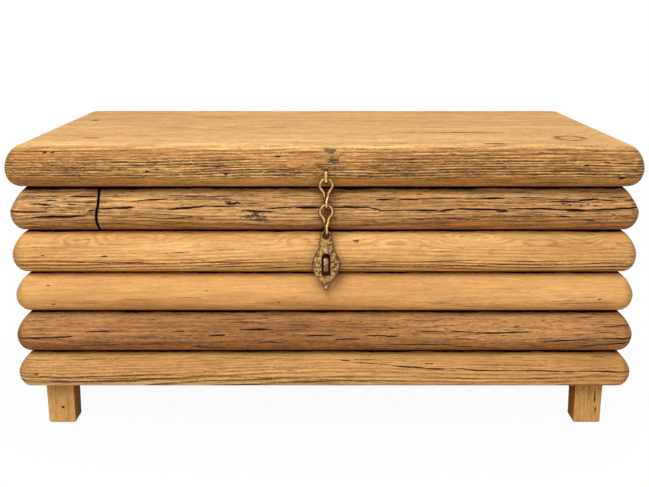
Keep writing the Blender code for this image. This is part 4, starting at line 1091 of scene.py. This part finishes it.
# Chips on the front: middle X, walk along the rounding, half length and half height.
LID_CHIPS = (
    (-0.389, 0.0265, 0.0070, 0.0034), (-0.433, 0.0320, 0.0090, 0.0030),
    (-0.066, 0.0255, 0.0130, 0.0028), (0.048, 0.0260, 0.0060, 0.0036),
    (0.203, 0.0285, 0.0140, 0.0020),
)
# Small holes on the front: middle X, walk, radius and depth.
LID_PITS = (
    (-0.277, -0.0021, 0.0012, 0.0012), (-0.262, 0.0012, 0.0010, 0.0008),
    (-0.154, -0.0065, 0.0012, 0.0010), (0.410, 0.0072, 0.0016, 0.0016),
    (0.466, -0.0126, 0.0018, 0.0018), (-0.072, 0.0218, 0.0015, 0.0015),
    (-0.425, 0.0300, 0.0012, 0.0010), (-0.438, 0.0285, 0.0010, 0.0010),
)
# Cracks on the front: X and walk at both ends, half width, and how dark.
LID_CRACKS = (
    (0.413, 0.0068, 0.452, 0.0056, 0.0007, 0.8), (-0.445, 0.0335, -0.421, 0.0275, 0.0006, 0.7),
    (-0.452, 0.0300, -0.436, 0.0330, 0.0006, 0.6), (-0.080, 0.0205, -0.060, 0.0235, 0.0006, 0.7),
)
# Two smudges beside the staple: X, walk, half length, half height and strength.
LID_STAINS = ((0.009, 0.033, 0.014, 0.0090, 1.1), (0.013, 0.015, 0.013, 0.0075, 1.1))
# The knot on the top: middle X and Y, and the half sizes of the ring round it.
KNOT_X, KNOT_Y, KNOT_LONG, KNOT_WIDE = 0.4065, -0.199, 0.0215, 0.031


def lid_wear(x, walk, level, grain, outward):
    """Worn pale wood along the front shoulder, where the face turns into the top, and
    a few chips knocked out of the face below it."""
    patchy = 0.50 + 0.5 * drift(x * 40, walk * 80, seed=31)
    band = ease(level, 0.76, 0.88) * fade(outward[:, 2], 0.985, 0.9995) * patchy
    chips = np.zeros(len(x))
    for middle, place, long, tall in LID_CHIPS:
        off = np.hypot((x - middle) / long, (walk - place) / tall)
        off = off + 0.35 * drift(x * 260, walk * 300, seed=32)
        chips = np.maximum(chips, fade(off, 0.7, 1.1))
    return np.clip(np.maximum(band, 1.8 * chips), 0, 1.8) * (outward[:, 1] < -0.05)


def lid_tone_and_shade(x, walk, level, grain, outward):
    """Painted shade: the front of the lid is darker than its top below the worn shoulder,
    most of all in a smooth brown band near its lower edge, where it turns under. The top
    is painted lighter, most towards the front."""
    y = grain[:, 1]
    slow = 0.04 * drift(x * 5, y * 12, seed=33) + 0.06 * drift(x * 4, y * 60, seed=34)
    slow = slow + 0.05 * drift(x * 22, walk * 160, seed=35) * (level < 0.98)
    face = fade(level + 0.03 * drift(x * 30, seed=37), 0.80, 0.88)
    top = ease(level, 0.985, 0.999) * (0.085 + 0.055 * fade(y, -0.2, 0.0))
    top = top - 1.05 * lid_marks(x, level, y)
    band = 0.225 + 0.17 * ease(-level, 0.30, 0.55) + 0.05 * ease(level, 0.3, 0.6)
    return slow + top - face * band


def lid_bold(x, walk, level, grain, outward):
    """The growth rings stand out most half way up the front, and hardly on the top."""
    face = ease(level, -0.54, -0.40) * (1 - 0.45 * ease(level, 0.38, 0.5))
    return np.where(level > 0.8, 0.5 - 0.3 * ease(level, 0.9, 0.999), 0.15 + 0.85 * face)


def lid_marks(x, level, y):
    """Marks on the top: split, spots and streaks, and the ring round a knot."""
    amount = np.zeros(len(x))
    for x0, x1, middle, half, deep in LID_MARKS:
        share = np.clip((x - x0) / (x1 - x0), 0, 1)
        wide = half * np.sqrt(np.clip(1 - (2 * share - 1) ** 2, 0.0, 1))
        wide = wide * (1 + 0.4 * drift(x * 120, seed=38))
        off = np.abs(y - middle - 0.004 * drift(x * 30, seed=39)) / np.maximum(wide, 1e-4)
        inside = (x > x0) & (x < x1)
        amount = np.maximum(amount, deep * fade(off, 0.5, 1.3) * inside)
    knot = np.hypot((x - KNOT_X) / KNOT_LONG, (y - KNOT_Y) / KNOT_WIDE)
    knot = knot + 0.10 * drift(x * 70, y * 70, seed=43)
    uneven = 0.44 + 0.14 * drift(x * 110, y * 60, seed=44) - 2.6 * (x - KNOT_X)
    ring = np.clip(uneven, 0.24, 0.43) * fade(np.abs(knot - 1), 0.05, 0.50)
    return np.maximum(amount, ring) * (level > 0.9)


def lid_scratches(x, walk, level, grain, outward):
    """Only the middles of the strongest marks on the top are open and dark."""
    return np.clip(1.15 * lid_marks(x, level, grain[:, 1]) - 0.22, 0, 1)


def arris(points, marks, seams):
    """Softens the top edges at the seams between planks, and returns how far each point
    is from the nearest seam."""
    x, y, z = points.T
    near = np.full(len(y), 1.0)
    for seam in seams:
        waver = 0.0002 * drift(x * 40, seed=int(seam * 1e4) % 97)
        near = np.minimum(near, np.abs(y - seam + waver))
    top = ease(z, lid_top - 0.0016, lid_top - 0.0004)
    points[:, 2] -= 0.0011 * fade(near, 0.0, 0.0018) * top
    marks[:, 0] = np.where(top > 0.5, 1.0, marks[:, 0])
    return near


for place, (name, (heart, columns, rows, corner)) in enumerate(PLANKS.items()):
    noses, plain = {"left": LID_NOSE, "right": LID_NOSE}, name != "front"
    if name in ("front", "back"):
        noses[name] = LID_NOSE if plain else LID_FRONT_NOSE
    levels, walked = even_levels(
        lid_top - lid_bottom, LID_BELLY, *((LID_NOSE, 64) if plain else (LID_FRONT_NOSE, 150)))
    shape = carve(
        lid_spans[place], noses, LID_BELLY, corner, (columns, rows, columns, rows),
        levels, walked, arc=9, top_grid=True,
    )
    near = arris(shape[0], shape[3], seams[max(place - 1, 0):place + 1])

    def grime(x, walk, level, grain, outward):
        """Dirt in the seams, and painted shade under the lid's edge."""
        inset = nose_inset(level, LID_FRONT_NOSE)
        under = ease(inset, 0.0145 + 0.001 * drift(x * 30, seed=36), 0.0175)
        return np.maximum(fade(near, 0.0006, 0.0016) * 0.95, np.where(level < 0, under, 0))

    front_only = {} if plain else {
        "face": (lid_spans[0][1][0], LID_FRONT_NOSE), "pits": LID_PITS, "wear": lid_wear,
        "cracks": [*LID_CRACKS, *hairline_cracks(330, 110, lid_spans[0][0], -0.026, 0.036)],
        "stain": smudges(LID_STAINS, 41),
    }
    piece = weathered(
        f"lid_plank_{name}_skin", shape, [lid_pine, sawn_pine], "x", heart, 0.0040,
        seed=160 + place * 11, relief=0.0006, dents=0.00012, bold=lid_bold, tone=lid_tone_and_shade,
        scratches=lid_scratches, grime=grime, lid_top=True, **front_only,
    )
    put(piece, "lid")


# Hinges. Two let-in butt hinges between the lid and the top back board, dark iron,
# each leaf held by countersunk screws, which show when the lid is open.

def sweep(path, section, closed=False):
    """A bar swept along a path: at each path point the section's two coordinates run
    along that point's two side directions. An open bar has flat ends."""
    place, one, two = path
    ring = section[None, :, :1] * one[:, None] + section[None, :, 1:2] * two[:, None]
    points = place[:, None] + ring
    count, around = points.shape[:2]
    index = np.arange(count * around).reshape(count, around)
    if closed:
        index = np.concatenate([index, index[:1]])
    wrap = np.roll(index, -1, axis=1)
    quads = np.stack([index[:-1], wrap[:-1], wrap[1:], index[1:]], -1).reshape(-1, 4)
    flats = [] if closed else [list(index[0][::-1]), list(index[-1])]
    return points.reshape(-1, 3), quads, flats


def metal_finish(name, dark, body, grey, bright, rough):
    """Old worked metal: patches of two skins, dark pits and dirt, and bright spots, partly
    rubbed and partly painted highlight, that gather where the wear mark is strong; where
    it is weak, dirt and painted shade."""
    material, tree, shader = new_surface(name)
    place = node(tree, "TexCoord").outputs["Object"]
    highlight_and_wear = node(tree, "Attribute", attribute_name="wear").outputs["Fac"]
    cloud, grain, pits = (
        node(tree, "TexNoise", {
            "Vector": place, "Scale": scale, "Detail": 4.0, "Roughness": roughness,
        }).outputs[0] for scale, roughness in ((190, 0.6), (520, 0.7), (480, 0.7))
    )
    colour = blended(tree, ramped(tree, cloud, 0.44, 0.58), body, grey)
    # Rubbed spots and painted highlight, bright where the wear mark is high.
    gleam = sums(tree, "MULTIPLY_ADD", highlight_and_wear, 0.30, grain)
    colour = blended(tree, ramped(tree, gleam, 0.72, 0.90), colour, bright)
    # Dirt in the pits, and painted shade where the wear mark is low.
    dirt_and_shade = sums(tree, "MULTIPLY_ADD", highlight_and_wear, 0.42, pits)
    dirt_and_shade_share = ramped(tree, dirt_and_shade, 0.58, 0.84, 0.95, 0.0)
    colour = blended(tree, dirt_and_shade_share, colour, dark)
    height = sums(tree, "SUBTRACT", sums(tree, "MULTIPLY_ADD", cloud, 0.8, grain), dirt_and_shade_share)
    dull = sums(tree, "MULTIPLY_ADD", grain, 0.35, rough - 0.17)
    surface(tree, shader, colour, dull, 0.5, height, 0.7, 0.0003)
    shader.inputs["Metallic"].default_value = 0.45
    return material


dark_iron = metal_finish(
    "dark_iron", srgb(26, 22, 18), srgb(62, 54, 46), srgb(48, 44, 42), srgb(128, 116, 102), 0.5)
dress("hinge_", dark_iron)


def screw_heads(name, body, places, facing, radius, rise):
    """Slotted round screw heads in one mesh: height falls from the middle as
    1 - .55 r^2 and a slot is pressed across; facing is 1 for up and -1 for down."""
    share = np.array([0.06, 0.2, 0.35, 0.5, 0.65, 0.8, 0.92, 1.0, 1.0])[:, None]
    angle = np.linspace(0, 2 * math.pi, 33)[:-1]
    across, along = share * np.cos(angle), share * np.sin(angle)
    in_slot = fade(np.abs(across), 0.13, 0.22)
    height = rise * (1 - 0.55 * share ** 2 - 0.4 * in_slot)
    height[-1] = -0.001
    index = np.arange(height.size).reshape(height.shape)
    wrap = np.roll(index, -1, axis=1)
    quads = np.stack([index[:-1], index[1:], wrap[1:], wrap[:-1]], -1).reshape(-1, 4)
    points, faces, flats = [], [], []
    for number, (x, y, z) in enumerate(places):
        cos, sin, first = math.cos(1.3 * number), math.sin(1.3 * number), number * index.size
        flat_x = x + radius * (across * cos - along * sin)
        flat_y = y + radius * (across * sin + along * cos)
        points.append(np.stack([flat_x, flat_y, z + facing * height], -1).reshape(-1, 3))
        faces.append(quads[:, ::facing] + first)
        flats += [index[0][::facing] + first, index[-1][::-facing] + first]
    marks = {"wear": np.tile((1 - in_slot).ravel(), len(places))}
    piece = to_mesh(
        name, np.concatenate(points), np.concatenate(faces), flats, marks, [dark_iron], 50)
    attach(piece, body)


# Where the screws stand: X of the battens and of the hinges, and Y of each screw, those
# of the leaves a little staggered.
BATTEN_X, BATTEN_SCREW_Y = 0.26, (-0.238, -0.150, -0.066, -0.008, 0.072, 0.132, 0.206, 0.262)
LEAF_X, LEAF_SCREW_Y, STAGGER = 0.28, 0.3015, 0.003
batten_foot = spans_of("lid_batten_left")[2][0]
screw_heads("batten_screws", "lid", [
    (side * BATTEN_X + (0.014 if number % 2 else -0.014), y, batten_foot)
    for side in (-1, 1) for number, y in enumerate(BATTEN_SCREW_Y)
], -1, 0.0043, 0.0012)
leaf_x = [side * LEAF_X + step for side in (-1, 1) for step in (-0.024, 0.0, 0.024)]
for body, leaf_z, facing in (("box", 0.40350, 1), ("lid", 0.40382, -1)):
    places = [
        (x, LEAF_SCREW_Y + STAGGER * (number % 2), leaf_z) for number, x in enumerate(leaf_x)]
    screw_heads(f"hinge_screws_{body}", body, places, facing, 0.0030, 0.0001)


# Hasp. A staple in the lid, two twisted wire links, a forged plate with a slot and,
# behind the slot, the staple in the box. Wrought and filed by hand, bronze brown.

old_bronze = metal_finish(
    "old_bronze", srgb(56, 35, 17), srgb(193, 141, 74), srgb(144, 110, 68),
    srgb(255, 205, 118), 0.38)
# The middle of the chain and of the plate, from front to back.
CHAIN_Y = -0.321


def rounded_bar(wide, thick, corner, steps):
    """Section of a bar: a rectangle with quarter-circle corners, anticlockwise."""
    rows = []
    for turn, (side, up) in zip((0, 90, 180, 270), ((1, 1), (-1, 1), (-1, -1), (1, -1))):
        angle = np.radians(np.linspace(turn, turn + 90, steps))
        rows.append(np.stack([
            side * (wide / 2 - corner) + corner * np.cos(angle),
            up * (thick / 2 - corner) + corner * np.sin(angle)], -1))
    return np.concatenate(rows)


def read_off(steps, run, line):
    """Each coordinate of a line at some distances along it."""
    return np.stack([np.interp(steps, run, column) for column in line.T], -1)


def unit(vectors):
    """The same directions, one long."""
    return vectors / np.linalg.norm(vectors, axis=1, keepdims=True)


def staple_path(nose_y, end_y, low_z, high_z, corner, thick):
    """Middle line of a staple: back leg to nose, round both corners, back again, even
    steps of .6 mm; the side directions are X and the outward one in the YZ plane."""
    inset, radius = thick / 2, corner - thick / 2
    arc = np.radians(np.linspace(90, 180, 15))
    centre = np.array([nose_y + corner, high_z - corner])
    upper = centre + radius * np.stack([np.cos(arc), np.sin(arc)], -1)
    lower = np.stack([upper[::-1, 0], high_z + low_z - upper[::-1, 1]], -1)
    rows = np.concatenate([[(end_y, high_z - inset)], upper, lower, [(end_y, low_z + inset)]])
    run = walk_along(rows)
    line = read_off(np.linspace(0, run[-1], int(run[-1] / 0.0006)), run, rows)
    along = unit(np.gradient(line, axis=0))
    place = np.insert(line, 0, HASP_X, axis=1)
    out = np.insert(along[:, ::-1] * (-1, 1), 0, 0.0, axis=1)
    return place, np.tile([-1.0, 0.0, 0.0], (len(line), 1)), out


def forge(name, parts, body, wear, depth):
    """Finishes a metal piece: hammer dents pressed in, and its rubbed places, painted
    highlight and painted shade marked.
    """
    points, quads, flats = parts
    outward = point_normals(points, quads)
    dent = 0.5 + 0.5 * drift(*points.T * 320, 3) + 0.3 * drift(*points.T * 900, 4)
    points = points - outward * (depth * dent)[:, None]
    piece = to_mesh(name, points, quads, flats, {"wear": wear(points, outward)}, [old_bronze], 50)
    put(piece, body)


def front_highlight_and_rub(points, outward):
    """What faces forward and a little up is polished by hands and weather, and painted
    brighter as a highlight towards the lamps; painted shade and dirt stay at the sides and
    behind."""
    facing = -0.94 * outward[:, 1] + 0.26 * outward[:, 2] + 0.10 * outward[:, 0]
    blotch = 0.25 * drift(*(points * (400, 400, 250)).T, 8)
    return np.clip(ease(facing, 0.58, 0.93) * (1.15 + blotch), 0, 1.25)


def staple_highlight_and_rub(points, outward):
    """The staple in the lid is rubbed, and has its painted highlight, most along its left
    side.
    """
    aside = ease(points[:, 0], HASP_X - 0.0005, HASP_X + 0.0030)
    return front_highlight_and_rub(points, outward) * (1 - 0.55 * aside)


def slot_staple_highlight_and_rub(points, outward):
    """The staple behind the slot is rubbed, and has its painted highlight, only towards its
    left side and its top.
    """
    aside = fade(points[:, 0], HASP_X - 0.0015, HASP_X + 0.0030)
    high = ease(points[:, 2], 0.270, 0.292)
    return front_highlight_and_rub(points, outward) * (0.44 + 0.56 * aside * high)


for body, wide, thick, wear, spot in (
    ("lid", 0.0070, 0.0045, staple_highlight_and_rub, (-0.3295, -0.2865, 0.4115, 0.4339, 0.0058)),
    ("box", 0.0092, 0.0040, slot_staple_highlight_and_rub, (-0.3187, -0.2829, 0.267496, 0.293996, 0.0060)),
):
    section = rounded_bar(wide, thick, 0.48 * thick, 9)
    parts = sweep(staple_path(*spot, thick), section)
    forge(f"{body}_staple_skin", parts, body, wear, 0.0002)


# Radii of the wire, of a link's ring and of its end loop, how far the loop's middle lies
# under the top of the ring, and at what angle below its middle the strands leave it.
WIRE, RING, LOOP, LINK_PITCH, RING_END = 0.0025, 0.0098, 0.0056, 0.0413, math.radians(37)


def link_wire(twist, count):
    """Closed middle line of a link. One strand: an arc of the ring, then a run that goes
    straight in until the two strands meet, twists and opens again, then a quarter of the
    end loop; the other strand is the same one turned half round. Returned with the two
    side directions of the wire."""
    turn = np.linspace(math.pi / 2, -RING_END, 26)
    spread = [RING * np.cos(turn)]
    height = [RING * (np.sin(turn) - 1)]
    twisted = [np.zeros(26)]
    share = np.linspace(0, 1, 62)[1:-1]
    pinch, soft = WIRE + 0.0002, 0.0016
    low_z = -RING * (1 + math.sin(RING_END))
    ring_half = RING * math.cos(RING_END) - pinch
    inward = ring_half - math.tan(RING_END) * share * (LINK_PITCH + low_z)
    run = pinch + 0.5 * (inward + np.sqrt(inward ** 2 + soft ** 2))
    run -= 0.5 * (math.hypot(ring_half, soft) - ring_half) * (1 - share)
    spread.append(run + (LOOP - run) * ease(share, 0.62, 1))
    height.append(low_z + (-LINK_PITCH - low_z) * share)
    twisted.append(ease(share, 0.36, 0.80))
    turn = np.linspace(0, -math.pi / 2, 18)
    spread.append(LOOP * np.cos(turn))
    height.append(-LINK_PITCH + LOOP * np.sin(turn))
    twisted.append(np.ones(18))
    spread, height, twisted = (np.concatenate(v) for v in (spread, height, twisted))
    angle = -twist * twisted
    down = np.stack([spread * np.cos(angle), spread * np.sin(angle), height], -1)
    up = down * (-1, -1, 1)
    line = np.concatenate([down, up[::-1][1:-1]])
    angle = np.concatenate([angle, angle[::-1][1:-1]])
    closed = np.concatenate([line, line[:1]])
    run = walk_along(closed)
    steps = np.linspace(0, run[-1], count + 1)[:-1]
    place = read_off(steps, run, closed)
    angle = np.interp(steps, run, np.concatenate([angle, angle[:1]]))
    along = unit(np.roll(place, -1, axis=0) - np.roll(place, 1, axis=0))
    flat = np.stack([-np.sin(angle), np.cos(angle), np.zeros(count)], -1)
    flat = unit(flat - along * (flat * along).sum(1, keepdims=True))
    return place, flat, np.cross(along, flat)


# The wire is drawn a little thicker than the CAD one, since hammer dents thin it again.
around = np.linspace(0, 2 * math.pi, 19)[:-1]
wire_section = np.stack([np.cos(around), np.sin(around)], -1) * WIRE * 1.08
for link, pivot_z, twist in (("link_upper", 0.419446, 84), ("link_lower", 0.378146, 79)):
    place, one, two = link_wire(math.radians(twist), 230)
    parts = sweep((place + (HASP_X, CHAIN_Y, pivot_z), one, two), wire_section, closed=True)
    forge(f"hasp_{link}_skin", parts, link, front_highlight_and_rub, 0.00018)


PLATE_TOP, PLATE_LENGTH, PLATE_WIDTH, PLATE_THICK = 0.337946, 0.0967, 0.0440, 0.0030
PLATE_LOW, ROUNDING = PLATE_TOP - PLATE_LENGTH, 0.0011
# The outline, as shares of the length down from the top and of the half width.
PLATE_OUTLINE = (
    (0, 0.16), (0.018, 0.30), (0.05, 0.39), (0.14, 0.46), (0.215, 0.54), (0.265, 0.52),
    (0.345, 0.66), (0.43, 0.86), (0.52, 0.98), (0.6, 1), (0.69, 0.91), (0.755, 0.75),
    (0.825, 0.48), (0.888, 0.26), (0.915, 0.17), (0.94, 0.18), (0.97, 0.11), (1, 0.03),
)
EYE_Z, EYE_RADIUS = 0.329946, 0.0050
EYE_LOW, EYE_HIGH = EYE_Z - EYE_RADIUS, EYE_Z + EYE_RADIUS
SLOT_LOW, SLOT_HIGH, SLOT_HALF, SLOT_FOOT = 0.265696, 0.300196, 0.0061, 0.003


def plate_edges(height):
    """Half widths of the plate at a height: outer, and inner where a hole is cut. The
    outer one is a cubic through the outline's points; the eye is a circle, the slot has
    a round top and a squared bottom."""
    level = (PLATE_TOP - height) / PLATE_LENGTH
    at, share = np.array(PLATE_OUTLINE).T
    slope = np.gradient(share, at)
    place = np.clip(np.searchsorted(at, level, side="right") - 1, 0, len(at) - 2)
    span = at[place + 1] - at[place]
    t = (level - at[place]) / span
    outer = (2 * t ** 3 - 3 * t ** 2 + 1) * share[place]
    outer = outer + (t ** 3 - 2 * t ** 2 + t) * span * slope[place]
    outer = outer + (3 * t ** 2 - 2 * t ** 3) * share[place + 1]
    outer = (outer + (t ** 3 - t ** 2) * span * slope[place + 1]) * PLATE_WIDTH / 2
    eye = np.sqrt(np.clip(EYE_RADIUS ** 2 - (height - EYE_Z) ** 2, 0, None))
    crown = SLOT_HIGH - SLOT_HALF
    round_top = np.sqrt(np.clip(SLOT_HALF ** 2 - np.clip(height - crown, 0, None) ** 2, 0, None))
    foot = np.clip((SLOT_LOW + SLOT_FOOT - height) / SLOT_FOOT, 0, 1)
    slot = np.minimum(round_top, SLOT_HALF * (1 - foot ** 4) ** 0.25)
    slot = np.where((height > SLOT_LOW) & (height < SLOT_HIGH), slot, 0)
    return outer, np.maximum(eye, slot)


def hole_rows(low, high, count):
    """Heights across a hole, close together at its two ends."""
    return (low + high) / 2 - (high - low) / 2 * np.cos(np.linspace(0, math.pi, count))


rows = np.concatenate([
    np.linspace(PLATE_LOW, SLOT_LOW, 46)[:-1],
    hole_rows(SLOT_LOW, SLOT_LOW + 2 * SLOT_FOOT, 18)[:9],
    np.linspace(SLOT_LOW + SLOT_FOOT, SLOT_HIGH - SLOT_HALF, 40)[:-1],
    hole_rows(SLOT_HIGH - 2 * SLOT_HALF, SLOT_HIGH, 38)[19:-1],
    np.linspace(SLOT_HIGH, EYE_LOW, 36)[:-1],
    hole_rows(EYE_LOW, EYE_HIGH, 26)[:-1],
    np.linspace(EYE_HIGH, PLATE_TOP, 9),
])
outer, inner = plate_edges(rows)
inner[inner < 1e-5] = 0
# Each half of the plate, right and left, is a sheet of rows from its inner to its outer
# edge, and its edges are bands from the front sheet to the back one.
share = 0.5 - 0.5 * np.cos(np.linspace(0, math.pi, 27))
half = inner[:, None] + (outer - inner)[:, None] * share
eye_rows = (rows >= EYE_LOW - 1e-9) & (rows <= EYE_HIGH + 1e-9)
slot_rows = (rows >= SLOT_LOW - 1e-9) & (rows <= SLOT_HIGH + 1e-9)
sheets, edges = [], []
for sign in (1, -1):
    sheet = np.stack([sign * half, np.broadcast_to(rows[:, None], half.shape)], -1)
    sheets.append((sheet, sign))
    edges += [(sheet[:, -1], sign), (sheet[0], sign), (sheet[-1], -sign),
              (sheet[eye_rows, 0], -sign), (sheet[slot_rows, 0], -sign)]
border = []
for line, _ in edges:
    run = walk_along(line)
    border.append(read_off(np.arange(0, run[-1], 0.0001), run, line))
border = np.concatenate(border)


def to_border(flat):
    """Distance from each place on the plate to the nearest edge, outer or of a hole."""
    return np.concatenate([
        np.sqrt(((part[:, None] - border[None]) ** 2).sum(-1)).min(1)
        for part in np.array_split(flat.reshape(-1, 2), 60)
    ]).reshape(flat.shape[:-1])


blocks = []
for sheet, sign in sheets:
    away = np.clip(to_border(sheet), 0, ROUNDING)
    away[:, -1] = away[0] = away[-1] = 0
    away[eye_rows | slot_rows, 0] = 0
    draw = ROUNDING - np.sqrt(ROUNDING ** 2 - (ROUNDING - away) ** 2)
    for face in (-1, 1):
        y = CHAIN_Y + face * (PLATE_THICK / 2 - draw * 0.95)
        blocks.append((np.stack([HASP_X + sheet[..., 0], y, sheet[..., 1]], -1), face * sign))
through = CHAIN_Y + np.linspace(-1, 1, 4)[:, None] * (PLATE_THICK / 2 - ROUNDING * 0.95)
for line, turn in edges:
    band = np.broadcast_arrays(HASP_X + line[None, :, 0], through, line[None, :, 1])
    blocks.append((np.stack(band, -1), turn))
points, quads, made = [], [], 0
for grid, turn in blocks:
    index = np.arange(grid[..., 0].size).reshape(grid.shape[:2]) + made
    made += index.size
    points.append(grid.reshape(-1, 3))
    quads.append(grid_quads(index)[:, ::-turn])
points, quads = np.concatenate(points), np.concatenate(quads)
micron = np.round(points * 1e6).astype(np.int64)
_, first, same = np.unique(micron, axis=0, return_index=True, return_inverse=True)
points, quads = points[first], same.ravel()[quads]


def plate_rub_highlight_and_shade(points, outward):
    """The plate is rubbed in blotches and painted brighter where it faces forward; its edges,
    the sides of its holes and its right side are darker, as painted shade.
    """
    away = to_border(points[:, [0, 2]] - (HASP_X, 0))
    blotch = 0.74 + 0.42 * drift(points[:, 0] * 330, points[:, 2] * 330, seed=14)
    blotch = blotch - 0.16 * ease(points[:, 0], HASP_X - 0.006, HASP_X + 0.018)
    return np.clip(blotch * ease(away, 0.0004, 0.0018) * ease(-outward[:, 1], 0.2, 0.8), 0, 1)


forge("hasp_plate_skin", (points, quads, []), "plate", plate_rub_highlight_and_shade, 0.00035)


# Studio. A white paper floor, one big soft lamp above and in front on the left, a
# weaker one overhead, and soft light all round, as in a catalogue photo on white.

WHITE = (1.0, 1.0, 1.0, 1.0)
paper, tree, shader = new_surface("stage_paper")
shader.inputs["Base Color"].default_value = srgb(240, 240, 240)
shader.inputs["Roughness"].default_value = 0.9
shader.inputs["Specular IOR Level"].default_value = 0.0
seen = node(tree, "LightPath").outputs["Is Camera Ray"]
glow = node(tree, "Emission", {"Color": WHITE, "Strength": 1.0}).outputs[0]
place = node(tree, "TexCoord").outputs["Object"]
away = node(tree, "VectorMath", {0: place}, operation="LENGTH").outputs["Value"]
share = sums(tree, "MULTIPLY", seen, ramped(tree, away, 0.35, 0.95, 0.955, 1.0))
mixed = node(tree, "MixShader", {0: share, 1: shader.outputs[0], 2: glow}).outputs[0]
tree.links.new(mixed, tree.nodes["Material Output"].inputs["Surface"])
run = np.linspace(-3.0, 3.0, 41)
grid = np.stack([*np.meshgrid(run, run), np.zeros((41, 41))], -1)
quads = grid_quads(np.arange(41 * 41).reshape(41, 41))
to_mesh("stage_floor", grid.reshape(-1, 3), quads, [], {}, [paper])

world = bpy.data.worlds.new("studio")
bpy.context.scene.world = world
world.use_nodes = True
tree = world.node_tree
soft = tree.nodes["Background"]
soft.inputs["Color"].default_value = WHITE
soft.inputs["Strength"].default_value = 0.42
bright = node(tree, "Background", {"Color": WHITE, "Strength": 1.0}).outputs[0]
rays = node(tree, "LightPath").outputs
seen = sums(tree, "MAXIMUM", rays["Is Camera Ray"], rays["Is Transmission Ray"])
mixed = node(tree, "MixShader", {0: seen, 1: soft.outputs[0], 2: bright}).outputs[0]
tree.links.new(mixed, tree.nodes["World Output"].inputs["Surface"])

for name, place, aim, size, power in (
    ("key_lamp", (-0.45, -1.95, 2.35), (0.0, -0.1, 0.25), 1.5, 49),
    ("top_lamp", (0.3, 0.3, 2.6), (0.0, 0.0, 0.3), 1.8, 16),
):
    light = bpy.data.lights.new(name, "AREA")
    light.shape = "DISK"
    light.size = size
    light.energy = power
    lamp = bpy.data.objects.new(name, light)
    lamp.location = place
    line = mathutils.Vector(aim) - mathutils.Vector(place)
    lamp.rotation_euler = line.to_track_quat("-Z", "Y").to_euler()
    bpy.context.scene.collection.objects.link(lamp)


# Camera. Two metres in front and a little above the lid, looking down about twelve
# degrees, as the vanishing lines of the photo give it.

eye = bpy.data.cameras.new("photo_camera")
eye.sensor_width = 36.0
eye.lens = 61.74
camera = bpy.data.objects.new("photo_camera", eye)
camera.location = (0.0, -2.0358, 0.6785)
camera.rotation_euler = (math.radians(90 - 11.898), 0.0, 0.0)
bpy.context.scene.collection.objects.link(camera)
bpy.context.scene.camera = camera
bpy.context.scene.view_settings.view_transform = "Standard"
